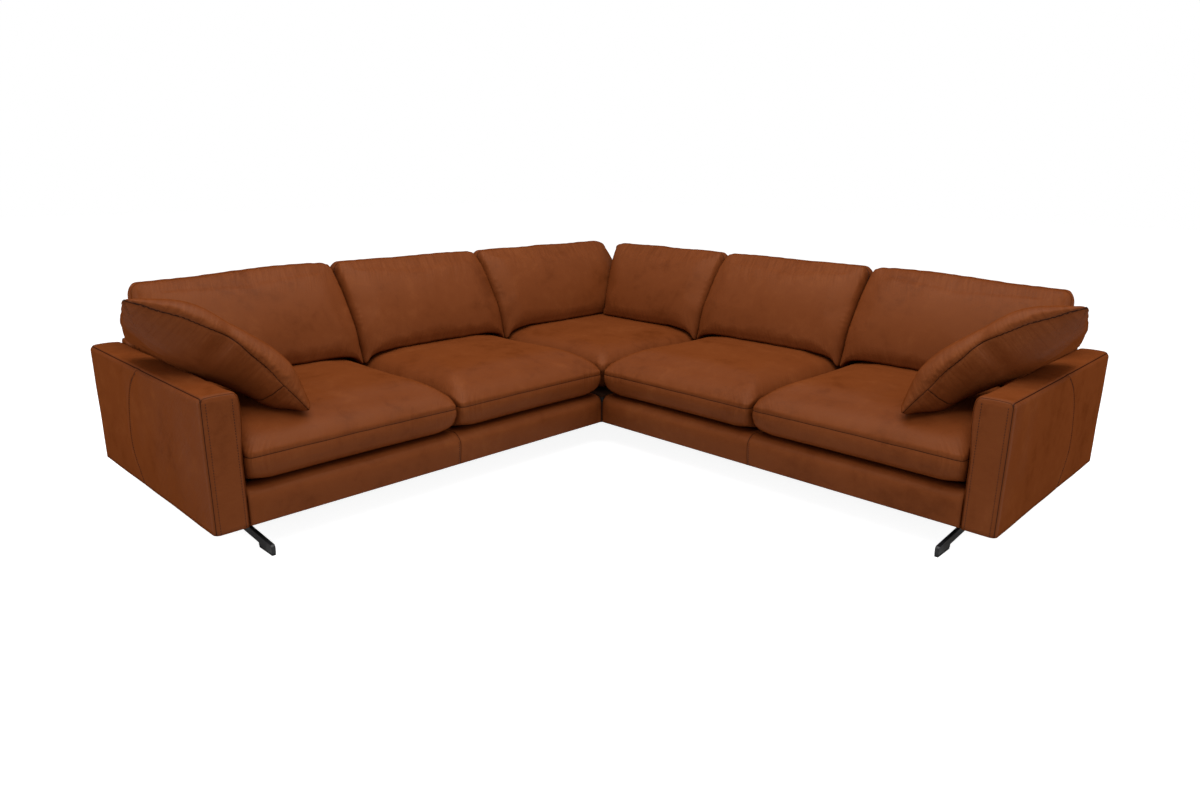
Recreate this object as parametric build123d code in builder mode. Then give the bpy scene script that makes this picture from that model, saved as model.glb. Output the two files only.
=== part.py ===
from build123d import *
import math
import os

# Corner sofa in three sections: a right wing along +X, a left wing along -Y and the corner between them.
# Wing places are given as (along, behind, up): along the wing from the inner corner of the two fronts,
# behind the front face, and up from the floor. The left wing is the right wing mirrored in the diagonal.

# Overall sizes
WING_LENGTH = 1800.0
DEPTH = 1100.0
CLEARANCE = 110.0
RAIL_HEIGHT = 130.0
SECTION_GAP = 1.0

# Arms
ARM_WIDTH = 120.0
ARM_HEIGHT = 464.0
ARM_WALL = 20.0
ARM_ROUND = 18.0
ARM_PANEL = 18.0
ARM_POST = 40.0

# Back panels
BACK_HEIGHT = 480.0
BACK_FOOT = 135.0
BACK_HEAD = 100.0
BACK_ROUND = 30.0
BACK_FRONT_WALL = 30.0
BACK_REAR_WALL = 12.0
BACK_TOP_WALL = 25.0
POST_WIDTH = 40.0
POST_DEPTH = 55.0
POST_GAP = 3.0
TOP_RAIL = 22.0
INNER_POST_SHARES = (1 / 3, 2 / 3)

# Base timber, webbing, deck and dust cover
TIMBER = 25.0
GLUE_LINE = 0.2
FRONT_PADDING = 22.0
FRONT_ROUND = 28.0
FRONT_FLAP = 180.0
DUST_SHEET = 2.0
STRAP_WIDTH = 60.0
STRAP_THICK = 3.0
STRAP_PITCH = 118.0
DECK_THICK = 9.0
LINING = 4.0
LEG_BLOCK_LENGTH = 220.0
LEG_BLOCK_WIDTH = 95.0
LEG_BLOCK_HEIGHT = 48.0

# Cushions
CUSHION_SPLIT = 822.0
CUSHION_GAP = 4.0
ARM_GAP = 4.0
REST_GAP = 0.3
SEAT_REAR_GAP = 5.0
SEAT_CORNER = 28.0
SEAT_DRAW_IN = 6.0
# Each seat level: rise above the deck, then how far the front, the sides and the rear stand in.
# The front swells a little ahead of the rail at the seam.
SEAT_LEVELS = (
    (0.0, 48.0, 16.0, 16.0),
    (10.0, 18.0, 11.0, 12.0),
    (28.0, 0.0, 6.0, 7.0),
    (64.0, -11.0, 2.0, 3.0),
    (108.0, -15.0, 0.0, 0.0),
    (135.0, -6.0, 3.0, 2.0),
    (160.0, 17.0, 10.0, 3.0),
    (182.0, 62.0, 24.0, 5.0),
    (198.0, 132.0, 52.0, 8.0),
    (208.0, 226.0, 95.0, 10.0),
    (215.0, 390.0, 190.0, 14.0),
)
SEAT_SEAM_RISE = 108.0
# How far the corner seat's nose is cut under, from its seam down to the deck
CORNER_NOSE_UNDER = 80.0
# How far the back cushion's corners stand ahead of the sofa's rear face
BACK_CUSHION_FRONT_AHEAD = 420.0
BACK_CUSHION_REAR_AHEAD = 120.0
BACK_CUSHION_TOP_FRONT_AHEAD = 195.0
BACK_CUSHION_TOP_REAR_AHEAD = 96.0
BACK_CUSHION_RISE = 388.0
BACK_CUSHION_REAR_RISE = 362.0
BACK_CUSHION_TOP_CROWN = 18.0
BACK_CUSHION_CROWN = 44.0
# Each back cushion station: distance from the end, how far the edges stand in, share of the crown.
BACK_STATIONS = (
    (0.0, 8.0, 0.3),
    (8.0, 3.5, 0.5),
    (34.0, 1.0, 0.75),
    (95.0, 0.0, 0.9),
)
CORNER_BACK_LAP = 8.0
CORNER_BACK_LEAN = 16.6

# Scatter cushions, each leaning over an arm
SCATTER_FROM_ARM = 270.0
SCATTER_AHEAD = 620.0
SCATTER_LENGTH = 685.0
SCATTER_DEPTH = 420.0
SCATTER_REAR_SHORTER = 120.0
SCATTER_TURN = 28.0
SCATTER_BACK_TURN = 15.0
SCATTER_TILT = 37.95
SCATTER_REAR_TILT = 18.0
SCATTER_RISE = 5.5
SCATTER_TIP_OVER = 8.5
SCATTER_TOUCH_BEHIND = 166.0
# Each scatter station: share of the depth, bulge above and below the middle line, how far the tips draw in
# and half the height of the blunt tips.
SCATTER_STATIONS = (
    (0.0, 78.0, 62.0, 0.0, 4.0),
    (0.06, 113.0, 4.0, 6.0, 16.0),
    (0.18, 128.0, -62.0, 10.0, 26.0),
    (0.34, 133.0, -83.0, 13.0, 32.0),
    (0.5, 134.0, -80.0, 14.0, 34.0),
    (0.66, 128.0, -71.0, 13.0, 32.0),
    (0.82, 110.0, -46.0, 10.0, 26.0),
    (0.94, 86.0, -10.0, 6.0, 16.0),
    (1.0, 64.0, 50.0, 0.0, 4.0),
)

# Blade legs under the arm ends
BLADE_FROM_END = 168.0
BLADE_THICK = 15.0
BLADE_HEIGHT = 29.0
BLADE_SLOPE = 4.8
TOE_AHEAD = 38.0
REAR_TOE_INSET = 5.0
TOE_HEIGHT = 30.0
TOE_BEVEL = 6.0
TOE_PAD_LENGTH = 100.0
TOE_PAD_THICK = 8.0
TOE_PAD_MARGIN = 1.0
HUB_LENGTH = 80.0
STEEL_PLATE = 4.0
LEG_PLATE_LENGTH = 170.0
LEG_PLATE_WIDTH = 90.0
LEG_SCREW_INSET = 16.0

# Block feet and section links
FOOT_TOP_RADIUS = 30.0
FOOT_BOTTOM_RADIUS = 24.0
FOOT_SIDE = 110.0
FOOT_FRONT = 430.0
FOOT_REAR = 100.0
WING_FOOT_REAR = 200.0
LINK_FRONT = 330.0
LINK_REAR = 280.0
LINK_REACH = 45.0
LINK_WIDTH = 44.0
LINK_SETBACK = 8.0
LINK_FOOT = 35.0
CLIP_LENGTH = 32.0
CLIP_WALL = 4.0
CLIP_FLANGE = 20.0
LINK_PLAY = 0.5
SCREW_RADIUS = 2.5
SCREW_HOLE_RADIUS = 2.8
SCREW_LENGTH = 24.0
SCREW_HEAD_RADIUS = 5.5
SCREW_HEAD = 3.0

# Levels and places that follow from the sizes above
UNDERSIDE = CLEARANCE
DECK_TOP = UNDERSIDE + RAIL_HEIGHT
STRAP_TOP = DECK_TOP - DECK_THICK
TIMBER_TOP = STRAP_TOP - STRAP_THICK
TIMBER_BOTTOM = UNDERSIDE + DUST_SHEET
ARM_TOP = UNDERSIDE + ARM_HEIGHT
BACK_TOP = UNDERSIDE + BACK_HEIGHT
ARM_FACE = WING_LENGTH - ARM_WIDTH
BACK_FOOT_FACE = DEPTH - BACK_FOOT
BACK_HEAD_FACE = DEPTH - BACK_HEAD
POST_REAR = DEPTH - BACK_REAR_WALL - POST_GAP
POST_FRONT = POST_REAR - POST_DEPTH
REAR_RAIL_FRONT = POST_FRONT - TIMBER
FRAME_START = SECTION_GAP + LINING
SEAT_REAR = BACK_FOOT_FACE - SEAT_REAR_GAP
BACK_CUSHION_FRONT = DEPTH - BACK_CUSHION_FRONT_AHEAD
BACK_CUSHION_REAR = DEPTH - BACK_CUSHION_REAR_AHEAD
BACK_CUSHION_TOP_FRONT = DEPTH - BACK_CUSHION_TOP_FRONT_AHEAD
BACK_CUSHION_TOP_REAR = DEPTH - BACK_CUSHION_TOP_REAR_AHEAD
CORNER_BACK_START = BACK_CUSHION_FRONT - CORNER_BACK_LAP
SCATTER_BEHIND = BACK_CUSHION_FRONT - SCATTER_AHEAD
SCATTER_TOUCH = SCATTER_BEHIND + SCATTER_TOUCH_BEHIND
BLADE_ALONG = WING_LENGTH - BLADE_FROM_END
LINK_BEHIND = (LINK_FRONT, DEPTH - LINK_REAR)
FOOT_FAR = DEPTH - FOOT_REAR
WING_FEET = ((FOOT_SIDE, FOOT_FRONT), (FOOT_SIDE, DEPTH - WING_FOOT_REAR))
CORNER_FEET = (
    (-FOOT_FRONT, FOOT_FRONT),
    (-FOOT_FAR, FOOT_SIDE),
    (-FOOT_SIDE, FOOT_FAR),
    (-FOOT_FAR, FOOT_FAR),
)
SEAT_TOP = DECK_TOP + SEAT_LEVELS[-1][0]
PLATE_BOTTOM = UNDERSIDE - STEEL_PLATE
HUB_BEHIND = (DEPTH - REAR_TOE_INSET - TOE_AHEAD) / 2

scatter_along = ARM_FACE - SCATTER_FROM_ARM
scatter_tilt = math.radians(SCATTER_TILT)
scatter_flat = SCATTER_LENGTH * math.cos(scatter_tilt) + SCATTER_STATIONS[0][4] * math.sin(scatter_tilt)
scatter_reach = scatter_along + scatter_flat * math.cos(math.radians(SCATTER_TURN))
OVERHANG = max(0.0, scatter_reach - WING_LENGTH)

# The part's origin is on the floor under the middle of its outline, so the inner corner stands off it.
APEX_SHIFT = (WING_LENGTH + OVERHANG - DEPTH) / 2
APEX_X = -APEX_SHIFT
APEX_Y = APEX_SHIFT
WING = Plane(origin=(APEX_X, APEX_Y, 0))
DIAGONAL = Plane(origin=(0, 0, 0), z_dir=(1, 1, 0))

os.makedirs("parts", exist_ok=True)


def save(piece, node):
    """Label a finished piece and write it."""
    piece.part.label = node
    export_step(piece.part, f"parts/{node}.step")


def save_pair(piece, name):
    """Write a right wing piece and its mirrored twin on the left wing."""
    save(piece, f"right_{name}")
    with BuildPart() as twin:
        mirror(piece.part, about=DIAGONAL)
    save(twin, f"left_{name}")


def bar(along, behind, up, mode=Mode.ADD):
    """A straight board or block between three pairs of limits."""
    low = (APEX_X + along[0], APEX_Y + behind[0], up[0])
    with Locations(low):
        Box(
            along[1] - along[0],
            behind[1] - behind[0],
            up[1] - up[0],
            align=(Align.MIN, Align.MIN, Align.MIN),
            mode=mode,
        )


def side_plane(along, lean=0.0, up=0.0):
    """An upright plane across the wing: its x runs back, its y runs up, leaning towards the corner."""
    turn = math.radians(lean)
    return Plane(
        origin=(APEX_X + along, APEX_Y, up),
        x_dir=(0, 1, 0),
        z_dir=(math.cos(turn), 0, math.sin(turn)),
    )


def drill(along, behind, up, radius, length):
    """Cut an upright round hole."""
    with Locations((APEX_X + along, APEX_Y + behind, up)):
        Cylinder(
            radius,
            length,
            align=(Align.CENTER, Align.CENTER, Align.MIN),
            mode=Mode.SUBTRACT,
        )


def screw(along, behind, under):
    """A pan head screw driven upwards, its head below the level given."""
    with Locations((APEX_X + along, APEX_Y + behind, under - SCREW_HEAD)):
        Cylinder(SCREW_HEAD_RADIUS, SCREW_HEAD, align=(Align.CENTER, Align.CENTER, Align.MIN))
        Cylinder(
            SCREW_RADIUS,
            SCREW_HEAD + SCREW_LENGTH,
            align=(Align.CENTER, Align.CENTER, Align.MIN),
        )


def foot(along, behind):
    """A tapered block foot from the floor to the underside."""
    with Locations((APEX_X + along, APEX_Y + behind, 0)):
        Cone(
            FOOT_BOTTOM_RADIUS,
            FOOT_TOP_RADIUS,
            UNDERSIDE,
            align=(Align.CENTER, Align.CENTER, Align.MIN),
        )


def back_profile(along):
    """Outer outline of a back panel, standing on the deck in front and reaching the underside behind."""
    with BuildSketch(side_plane(along)) as outline:
        with BuildLine():
            Polyline(
                (BACK_FOOT_FACE, DECK_TOP),
                (BACK_HEAD_FACE, BACK_TOP),
                (DEPTH, BACK_TOP),
                (DEPTH, UNDERSIDE),
                (BACK_FOOT_FACE + BACK_FRONT_WALL, UNDERSIDE),
                (BACK_FOOT_FACE + BACK_FRONT_WALL, DECK_TOP),
                close=True,
            )
        make_face()
        fillet(outline.vertices().group_by(Axis.Y)[-1], BACK_ROUND)
    return outline.sketch


def back_cavity(along):
    """Hollow of a back panel, open downwards, for the timber back frame."""
    with BuildSketch(side_plane(along)) as hollow:
        with BuildLine():
            Polyline(
                (BACK_FOOT_FACE + BACK_FRONT_WALL, UNDERSIDE),
                (BACK_FOOT_FACE + BACK_FRONT_WALL, DECK_TOP),
                (BACK_HEAD_FACE + BACK_FRONT_WALL, BACK_TOP - BACK_TOP_WALL),
                (DEPTH - BACK_REAR_WALL, BACK_TOP - BACK_TOP_WALL),
                (DEPTH - BACK_REAR_WALL, UNDERSIDE),
                close=True,
            )
        make_face()
    return hollow.sketch


def cushion_outline(level, along, behind, insets):
    """A level outline of a seat cushion with drawn-in sides and round corners."""
    a0 = along[0] + insets[0]
    a1 = along[1] - insets[1]
    b0 = behind[0] + insets[2]
    b1 = behind[1] - insets[3]
    am = (a0 + a1) / 2
    bm = (b0 + b1) / 2
    r = SEAT_CORNER
    near = r * (1 - math.sqrt(0.5))
    draw = SEAT_DRAW_IN
    with BuildSketch(WING.offset(level)) as outline:
        with BuildLine():
            ThreePointArc((a0 + r, b0), (am, b0 + draw), (a1 - r, b0))
            ThreePointArc((a1 - r, b0), (a1 - near, b0 + near), (a1, b0 + r))
            ThreePointArc((a1, b0 + r), (a1 - draw, bm), (a1, b1 - r))
            ThreePointArc((a1, b1 - r), (a1 - near, b1 - near), (a1 - r, b1))
            ThreePointArc((a1 - r, b1), (am, b1 - draw), (a0 + r, b1))
            ThreePointArc((a0 + r, b1), (a0 + near, b1 - near), (a0, b1 - r))
            ThreePointArc((a0, b1 - r), (a0 + draw, bm), (a0, b0 + r))
            ThreePointArc((a0, b0 + r), (a0 + near, b0 + near), (a0 + r, b0))
        make_face()
    return outline.sketch


def wing_seat_levels(along):
    """Outlines of a wing's seat cushion from its underside to its crown."""
    return [
        cushion_outline(DECK_TOP + rise, along, (0.0, SEAT_REAR), (side, side, front, rear))
        for rise, front, side, rear in SEAT_LEVELS
    ]


def corner_seat_levels(along, behind):
    """Outlines of the corner seat: its rear sides under the back cushions, its nose cut under."""
    levels = []
    for rise, front, side, rear in SEAT_LEVELS:
        nose = side + CORNER_NOSE_UNDER * max(0.0, 1 - rise / SEAT_SEAM_RISE)
        levels.append(cushion_outline(DECK_TOP + rise, along, behind, (rear, nose, nose, rear)))
    return levels


def back_section(along, inset, crown_share, lean=0.0):
    """Cross section of a back cushion: flat below, leaning behind, crowned in front and on top."""
    stretch = 1 / math.cos(math.radians(lean))
    front = BACK_CUSHION_FRONT + inset
    rear = BACK_CUSHION_REAR - inset / 2
    top_front = (BACK_CUSHION_TOP_FRONT + inset / 2, (BACK_CUSHION_RISE - inset) * stretch)
    top_rear = (BACK_CUSHION_TOP_REAR - inset / 2, (BACK_CUSHION_REAR_RISE - inset) * stretch)
    run = top_front[0] - front
    rise = top_front[1]
    slope = math.hypot(run, rise)
    crown = BACK_CUSHION_CROWN * crown_share
    belly = (front + run / 2 - crown * rise / slope, rise / 2 + crown * run / slope)
    ridge = (
        (top_front[0] + top_rear[0]) / 2,
        (top_front[1] + top_rear[1]) / 2 + BACK_CUSHION_TOP_CROWN * stretch,
    )
    with BuildSketch(side_plane(along, lean, SEAT_TOP + REST_GAP)) as section:
        with BuildLine():
            Line((front, 0), (rear, 0))
            Line((rear, 0), top_rear)
            ThreePointArc(top_rear, ridge, top_front)
            ThreePointArc(top_front, belly, (front, 0))
        make_face()
    return section.sketch


def back_sections(start, end, lean=0.0):
    """Cross sections of a back cushion along its width, leaning at its start end only."""
    first = [back_section(start + d, inset, share, lean) for d, inset, share in BACK_STATIONS]
    middle = [back_section((start + end) / 2, 0.0, 1.0)]
    last = [back_section(end - d, inset, share) for d, inset, share in reversed(BACK_STATIONS)]
    return first + middle + last


def scatter_sections():
    """Lens outlines of a scatter cushion from its front edge to its rear edge, which lies flatter."""
    turn = math.radians(SCATTER_TURN)
    back = math.radians(SCATTER_BACK_TURN)
    rise = math.radians(SCATTER_RISE)
    run = Vector(-math.sin(back) * math.cos(rise), math.cos(back) * math.cos(rise), math.sin(rise))
    tip = Vector(APEX_X + scatter_along, APEX_Y + SCATTER_BEHIND, scatter_tip_up())
    sections = []
    for share, above, below, draw, blunt in SCATTER_STATIONS:
        tilt = math.radians(SCATTER_TILT + (SCATTER_REAR_TILT - SCATTER_TILT) * share)
        chord = Vector(
            math.cos(turn) * math.cos(tilt),
            math.sin(turn) * math.cos(tilt),
            math.sin(tilt),
        )
        place = Plane(
            origin=tip + run * (share * SCATTER_DEPTH),
            x_dir=chord,
            z_dir=(math.sin(turn), -math.cos(turn), 0),
        )
        near = draw
        far = SCATTER_LENGTH - SCATTER_REAR_SHORTER * share - draw
        middle = (near + far) / 2
        with BuildSketch(place) as lens:
            with BuildLine():
                ThreePointArc((near, blunt), (middle, above), (far, blunt))
                Line((far, blunt), (far, -blunt))
                ThreePointArc((far, -blunt), (middle, below), (near, -blunt))
                Line((near, -blunt), (near, blunt))
            make_face()
        sections.append(lens.sketch)
    return sections


def seat_height(behind):
    """Height of a wing seat's top along its middle, from its levels."""
    upper = [(front, rise) for rise, front, side, rear in SEAT_LEVELS if rise >= SEAT_SEAM_RISE]
    for (near, low), (far, high) in zip(upper, upper[1:]):
        if near <= behind <= far:
            return DECK_TOP + low + (high - low) * (behind - near) / (far - near)
    return SEAT_TOP


def scatter_slope():
    """Slope, from front to back, of the plane where a scatter cushion rests on the seat."""
    return math.tan(math.radians(SCATTER_RISE)) / math.cos(math.radians(SCATTER_BACK_TURN))


def scatter_tip_up():
    """Height of the scatter cushion's lower front tip, a little over the plane it rests on."""
    touch = seat_height(SCATTER_TOUCH) + REST_GAP
    return touch - scatter_slope() * (SCATTER_TOUCH - SCATTER_BEHIND) + SCATTER_TIP_OVER


# Seat cushions
mid_seat_span = (CUSHION_GAP / 2, CUSHION_SPLIT - CUSHION_GAP / 2)
end_seat_span = (CUSHION_SPLIT + CUSHION_GAP / 2, ARM_FACE - ARM_GAP)

with BuildPart() as mid_seat:
    loft(wing_seat_levels(mid_seat_span), ruled=True)
save_pair(mid_seat, "mid_seat_cushion")

with BuildPart() as end_seat:
    loft(wing_seat_levels(end_seat_span), ruled=True)
save_pair(end_seat, "end_seat_cushion")

with BuildPart() as corner_seat:
    loft(
        corner_seat_levels((-SEAT_REAR, -CUSHION_GAP / 2), (CUSHION_GAP / 2, SEAT_REAR)),
        ruled=True,
    )
save(corner_seat, "corner_seat_cushion")

# Back cushions
with BuildPart() as mid_back:
    loft(back_sections(*mid_seat_span), ruled=True)
save_pair(mid_back, "mid_back_cushion")

with BuildPart() as end_back:
    loft(back_sections(*end_seat_span), ruled=True)
save_pair(end_back, "end_back_cushion")

with BuildPart() as right_corner_back:
    loft(back_sections(-CORNER_BACK_START, -CUSHION_GAP / 2, CORNER_BACK_LEAN), ruled=True)
save(right_corner_back, "right_corner_back_cushion")

with BuildPart() as long_corner_back:
    loft(back_sections(-SEAT_REAR, -CUSHION_GAP / 2), ruled=True)
with BuildPart() as left_corner_back:
    mirror(long_corner_back.part, about=DIAGONAL)
save(left_corner_back, "left_corner_back_cushion")

# Scatter cushions, cut flat where they rest on the seat and clear of the arm's round top
scatter_rest = Plane(
    origin=(APEX_X, APEX_Y + SCATTER_TOUCH, seat_height(SCATTER_TOUCH) + REST_GAP),
    x_dir=(1, 0, 0),
    z_dir=(0, -scatter_slope(), 1),
)
with BuildPart() as arm_room:
    bar(
        (ARM_FACE - REST_GAP, WING_LENGTH + REST_GAP),
        (-REST_GAP, DEPTH + REST_GAP),
        (UNDERSIDE, ARM_TOP + REST_GAP),
    )
    fillet(arm_room.edges() - arm_room.faces().sort_by(Axis.Z)[0].edges(), ARM_ROUND + REST_GAP)
with BuildPart() as scatter:
    loft(scatter_sections(), ruled=True)
    split(bisect_by=scatter_rest, keep=Keep.TOP)
    add(arm_room.part, mode=Mode.SUBTRACT)
save_pair(scatter, "scatter_cushion")

# Wing: front rail cover of padded leather over the front timber
with BuildPart() as front_cover:
    with BuildSketch(side_plane(SECTION_GAP)):
        with BuildLine():
            Line((0, UNDERSIDE), (0, DECK_TOP - FRONT_ROUND))
            RadiusArc(
                (0, DECK_TOP - FRONT_ROUND),
                (FRONT_ROUND, DECK_TOP),
                FRONT_ROUND,
            )
            Polyline(
                (FRONT_ROUND, DECK_TOP),
                (FRONT_FLAP, DECK_TOP),
                (FRONT_FLAP, STRAP_TOP),
                (FRONT_PADDING, STRAP_TOP),
                (FRONT_PADDING, UNDERSIDE),
                (0, UNDERSIDE),
            )
        make_face()
    extrude(amount=ARM_FACE - SECTION_GAP)
save_pair(front_cover, "front_rail_cover")

# Wing: timber base frame, boards a glue line apart, with a block over the leg plate
cross_rails = [ARM_FACE * share - TIMBER / 2 for share in INNER_POST_SHARES]
side_rails = [FRAME_START, *cross_rails, ARM_FACE - TIMBER]
inner_front = FRONT_PADDING + TIMBER + GLUE_LINE
inner_rear = REAR_RAIL_FRONT - GLUE_LINE
with BuildPart() as base_frame:
    bar((FRAME_START, ARM_FACE), (FRONT_PADDING, FRONT_PADDING + TIMBER), (TIMBER_BOTTOM, TIMBER_TOP))
    bar((FRAME_START, ARM_FACE), (REAR_RAIL_FRONT, POST_FRONT), (TIMBER_BOTTOM, TIMBER_TOP))
    for start in side_rails:
        bar((start, start + TIMBER), (inner_front, inner_rear), (TIMBER_BOTTOM, TIMBER_TOP))
    bar(
        (ARM_FACE - TIMBER - GLUE_LINE - LEG_BLOCK_WIDTH, ARM_FACE - TIMBER - GLUE_LINE),
        (HUB_BEHIND - LEG_BLOCK_LENGTH / 2, HUB_BEHIND + LEG_BLOCK_LENGTH / 2),
        (TIMBER_BOTTOM, TIMBER_BOTTOM + LEG_BLOCK_HEIGHT),
    )
save_pair(base_frame, "base_frame")

# Wing: elastic webbing, padded deck, dust cover and lining
strap_run = ARM_FACE - FRAME_START - STRAP_WIDTH
strap_count = int(strap_run // STRAP_PITCH) + 1
strap_first = FRAME_START + (strap_run - (strap_count - 1) * STRAP_PITCH) / 2
with BuildPart() as webbing:
    for i in range(strap_count):
        start = strap_first + i * STRAP_PITCH
        bar((start, start + STRAP_WIDTH), (FRONT_PADDING, POST_FRONT), (TIMBER_TOP, STRAP_TOP))
save_pair(webbing, "webbing")

deck_rear = BACK_FOOT_FACE + BACK_FRONT_WALL
with BuildPart() as seat_deck:
    bar((SECTION_GAP, ARM_FACE), (FRONT_FLAP, deck_rear), (STRAP_TOP, DECK_TOP))
save_pair(seat_deck, "seat_deck")

with BuildPart() as dust_cover:
    bar((FRAME_START, ARM_FACE), (FRONT_PADDING, DEPTH - BACK_REAR_WALL), (UNDERSIDE, TIMBER_BOTTOM))
save_pair(dust_cover, "dust_cover")

with BuildPart() as side_lining:
    bar((SECTION_GAP, FRAME_START), (FRONT_PADDING, POST_FRONT), (UNDERSIDE, STRAP_TOP))
save_pair(side_lining, "side_lining")

# Wing: back panel cover over its timber frame
cavity_top = BACK_TOP - BACK_TOP_WALL
with BuildPart() as back_cover:
    extrude(back_profile(SECTION_GAP), amount=ARM_FACE - SECTION_GAP)
    extrude(back_cavity(SECTION_GAP), amount=ARM_FACE - SECTION_GAP, mode=Mode.SUBTRACT)
save_pair(back_cover, "back_cover")

post_top = cavity_top - TOP_RAIL - GLUE_LINE
post_starts = [
    SECTION_GAP,
    *[ARM_FACE * share - POST_WIDTH / 2 for share in INNER_POST_SHARES],
    ARM_FACE - POST_WIDTH,
]
with BuildPart() as back_frame:
    for start in post_starts:
        bar((start, start + POST_WIDTH), (POST_FRONT, POST_REAR), (TIMBER_BOTTOM, post_top))
    bar((SECTION_GAP, ARM_FACE), (POST_FRONT, POST_REAR), (cavity_top - TOP_RAIL, cavity_top))
save_pair(back_frame, "back_frame")

# Wing: arm cover of padded leather over a boxed timber arm
with BuildPart() as arm_cover:
    bar((ARM_FACE, WING_LENGTH), (0, DEPTH), (UNDERSIDE, ARM_TOP))
    fillet(arm_cover.edges() - arm_cover.faces().sort_by(Axis.Z)[0].edges(), ARM_ROUND)
    bar(
        (ARM_FACE + ARM_WALL, WING_LENGTH - ARM_WALL),
        (ARM_WALL, DEPTH - ARM_WALL),
        (UNDERSIDE, ARM_TOP - ARM_WALL),
        Mode.SUBTRACT,
    )
save_pair(arm_cover, "arm_cover")

arm_inner = ARM_FACE + ARM_WALL
arm_outer = WING_LENGTH - ARM_WALL
arm_roof = ARM_TOP - ARM_WALL
arm_core = (arm_inner + ARM_PANEL + GLUE_LINE, arm_outer - ARM_PANEL - GLUE_LINE)
arm_run = (ARM_WALL, DEPTH - ARM_WALL)
arm_post_top = arm_roof - ARM_POST - GLUE_LINE
with BuildPart() as arm_frame:
    bar((arm_inner, arm_inner + ARM_PANEL), arm_run, (UNDERSIDE, arm_roof))
    bar((arm_outer - ARM_PANEL, arm_outer), arm_run, (UNDERSIDE, arm_roof))
    bar(arm_core, arm_run, (UNDERSIDE, UNDERSIDE + ARM_PANEL))
    bar(arm_core, arm_run, (arm_roof - ARM_POST, arm_roof))
    for start in (ARM_WALL, DEPTH / 2 - ARM_POST / 2, DEPTH - ARM_WALL - ARM_POST):
        bar(arm_core, (start, start + ARM_POST), (UNDERSIDE + ARM_PANEL + GLUE_LINE, arm_post_top))
save_pair(arm_frame, "arm_frame")

# Wing: blade leg in a shallow upturned V, its plate and its toe pads
blade_rise = math.tan(math.radians(BLADE_SLOPE))
toe_rear = TOE_PAD_LENGTH - TOE_AHEAD


def blade_top(behind):
    """Height of the blade's upper edge."""
    return TOE_PAD_THICK + TOE_HEIGHT + (behind + TOE_AHEAD) * blade_rise


with BuildPart() as leg_front:
    with BuildSketch(side_plane(BLADE_ALONG - BLADE_THICK / 2)):
        with BuildLine():
            Polyline(
                (-TOE_AHEAD, TOE_PAD_THICK),
                (-TOE_AHEAD, TOE_PAD_THICK + TOE_HEIGHT - TOE_BEVEL),
                (-TOE_AHEAD + TOE_BEVEL, blade_top(-TOE_AHEAD + TOE_BEVEL)),
                (HUB_BEHIND - HUB_LENGTH / 2, blade_top(HUB_BEHIND - HUB_LENGTH / 2)),
                (HUB_BEHIND - HUB_LENGTH / 2, PLATE_BOTTOM),
                (HUB_BEHIND, PLATE_BOTTOM),
                (HUB_BEHIND, blade_top(HUB_BEHIND) - BLADE_HEIGHT),
                (toe_rear, blade_top(toe_rear) - BLADE_HEIGHT),
                (toe_rear, TOE_PAD_THICK),
                close=True,
            )
        make_face()
    extrude(amount=BLADE_THICK)
save_pair(leg_front, "leg_front_blade")

leg_middle = Plane(origin=(APEX_X, APEX_Y + HUB_BEHIND, 0), z_dir=(0, 1, 0))
with BuildPart() as leg_rear:
    mirror(leg_front.part, about=leg_middle)
save_pair(leg_rear, "leg_rear_blade")

with BuildPart() as toe_pad:
    bar(
        (BLADE_ALONG - BLADE_THICK / 2 + TOE_PAD_MARGIN, BLADE_ALONG + BLADE_THICK / 2 - TOE_PAD_MARGIN),
        (-TOE_AHEAD + TOE_PAD_MARGIN, toe_rear - TOE_PAD_MARGIN),
        (0, TOE_PAD_THICK),
    )
with BuildPart() as toe_pads:
    add(toe_pad.part)
    mirror(toe_pad.part, about=leg_middle)
save_pair(toe_pads, "toe_pads")

leg_screws = [
    (BLADE_ALONG + side * (LEG_PLATE_WIDTH / 2 - LEG_SCREW_INSET), HUB_BEHIND + end)
    for side in (-1, 1)
    for end in (LEG_SCREW_INSET - LEG_PLATE_LENGTH / 2, LEG_PLATE_LENGTH / 2 - LEG_SCREW_INSET)
]
with BuildPart() as leg_plate:
    bar(
        (BLADE_ALONG - LEG_PLATE_WIDTH / 2, BLADE_ALONG + LEG_PLATE_WIDTH / 2),
        (HUB_BEHIND - LEG_PLATE_LENGTH / 2, HUB_BEHIND + LEG_PLATE_LENGTH / 2),
        (PLATE_BOTTOM, UNDERSIDE),
    )
    for along, behind in leg_screws:
        drill(along, behind, PLATE_BOTTOM, SCREW_HOLE_RADIUS, STEEL_PLATE)
save_pair(leg_plate, "leg_plate")

# Wing: block feet, link tongues under the inner end, and screws
with BuildPart() as support_feet:
    for along, behind in WING_FEET:
        foot(along, behind)
save_pair(support_feet, "support_feet")

tongue_screws = [
    (FRAME_START + TIMBER / 2, behind + side * LINK_WIDTH / 4)
    for behind in LINK_BEHIND
    for side in (-1, 1)
]
with BuildPart() as link_tongues:
    for behind in LINK_BEHIND:
        width = (behind - LINK_WIDTH / 2, behind + LINK_WIDTH / 2)
        bar((FRAME_START, FRAME_START + LINK_FOOT), width, (PLATE_BOTTOM, UNDERSIDE))
        bar((-LINK_REACH, FRAME_START), width, (PLATE_BOTTOM, UNDERSIDE - LINK_PLAY))
    for along, behind in tongue_screws:
        drill(along, behind, PLATE_BOTTOM, SCREW_HOLE_RADIUS, STEEL_PLATE)
save_pair(link_tongues, "link_tongues")

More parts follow.
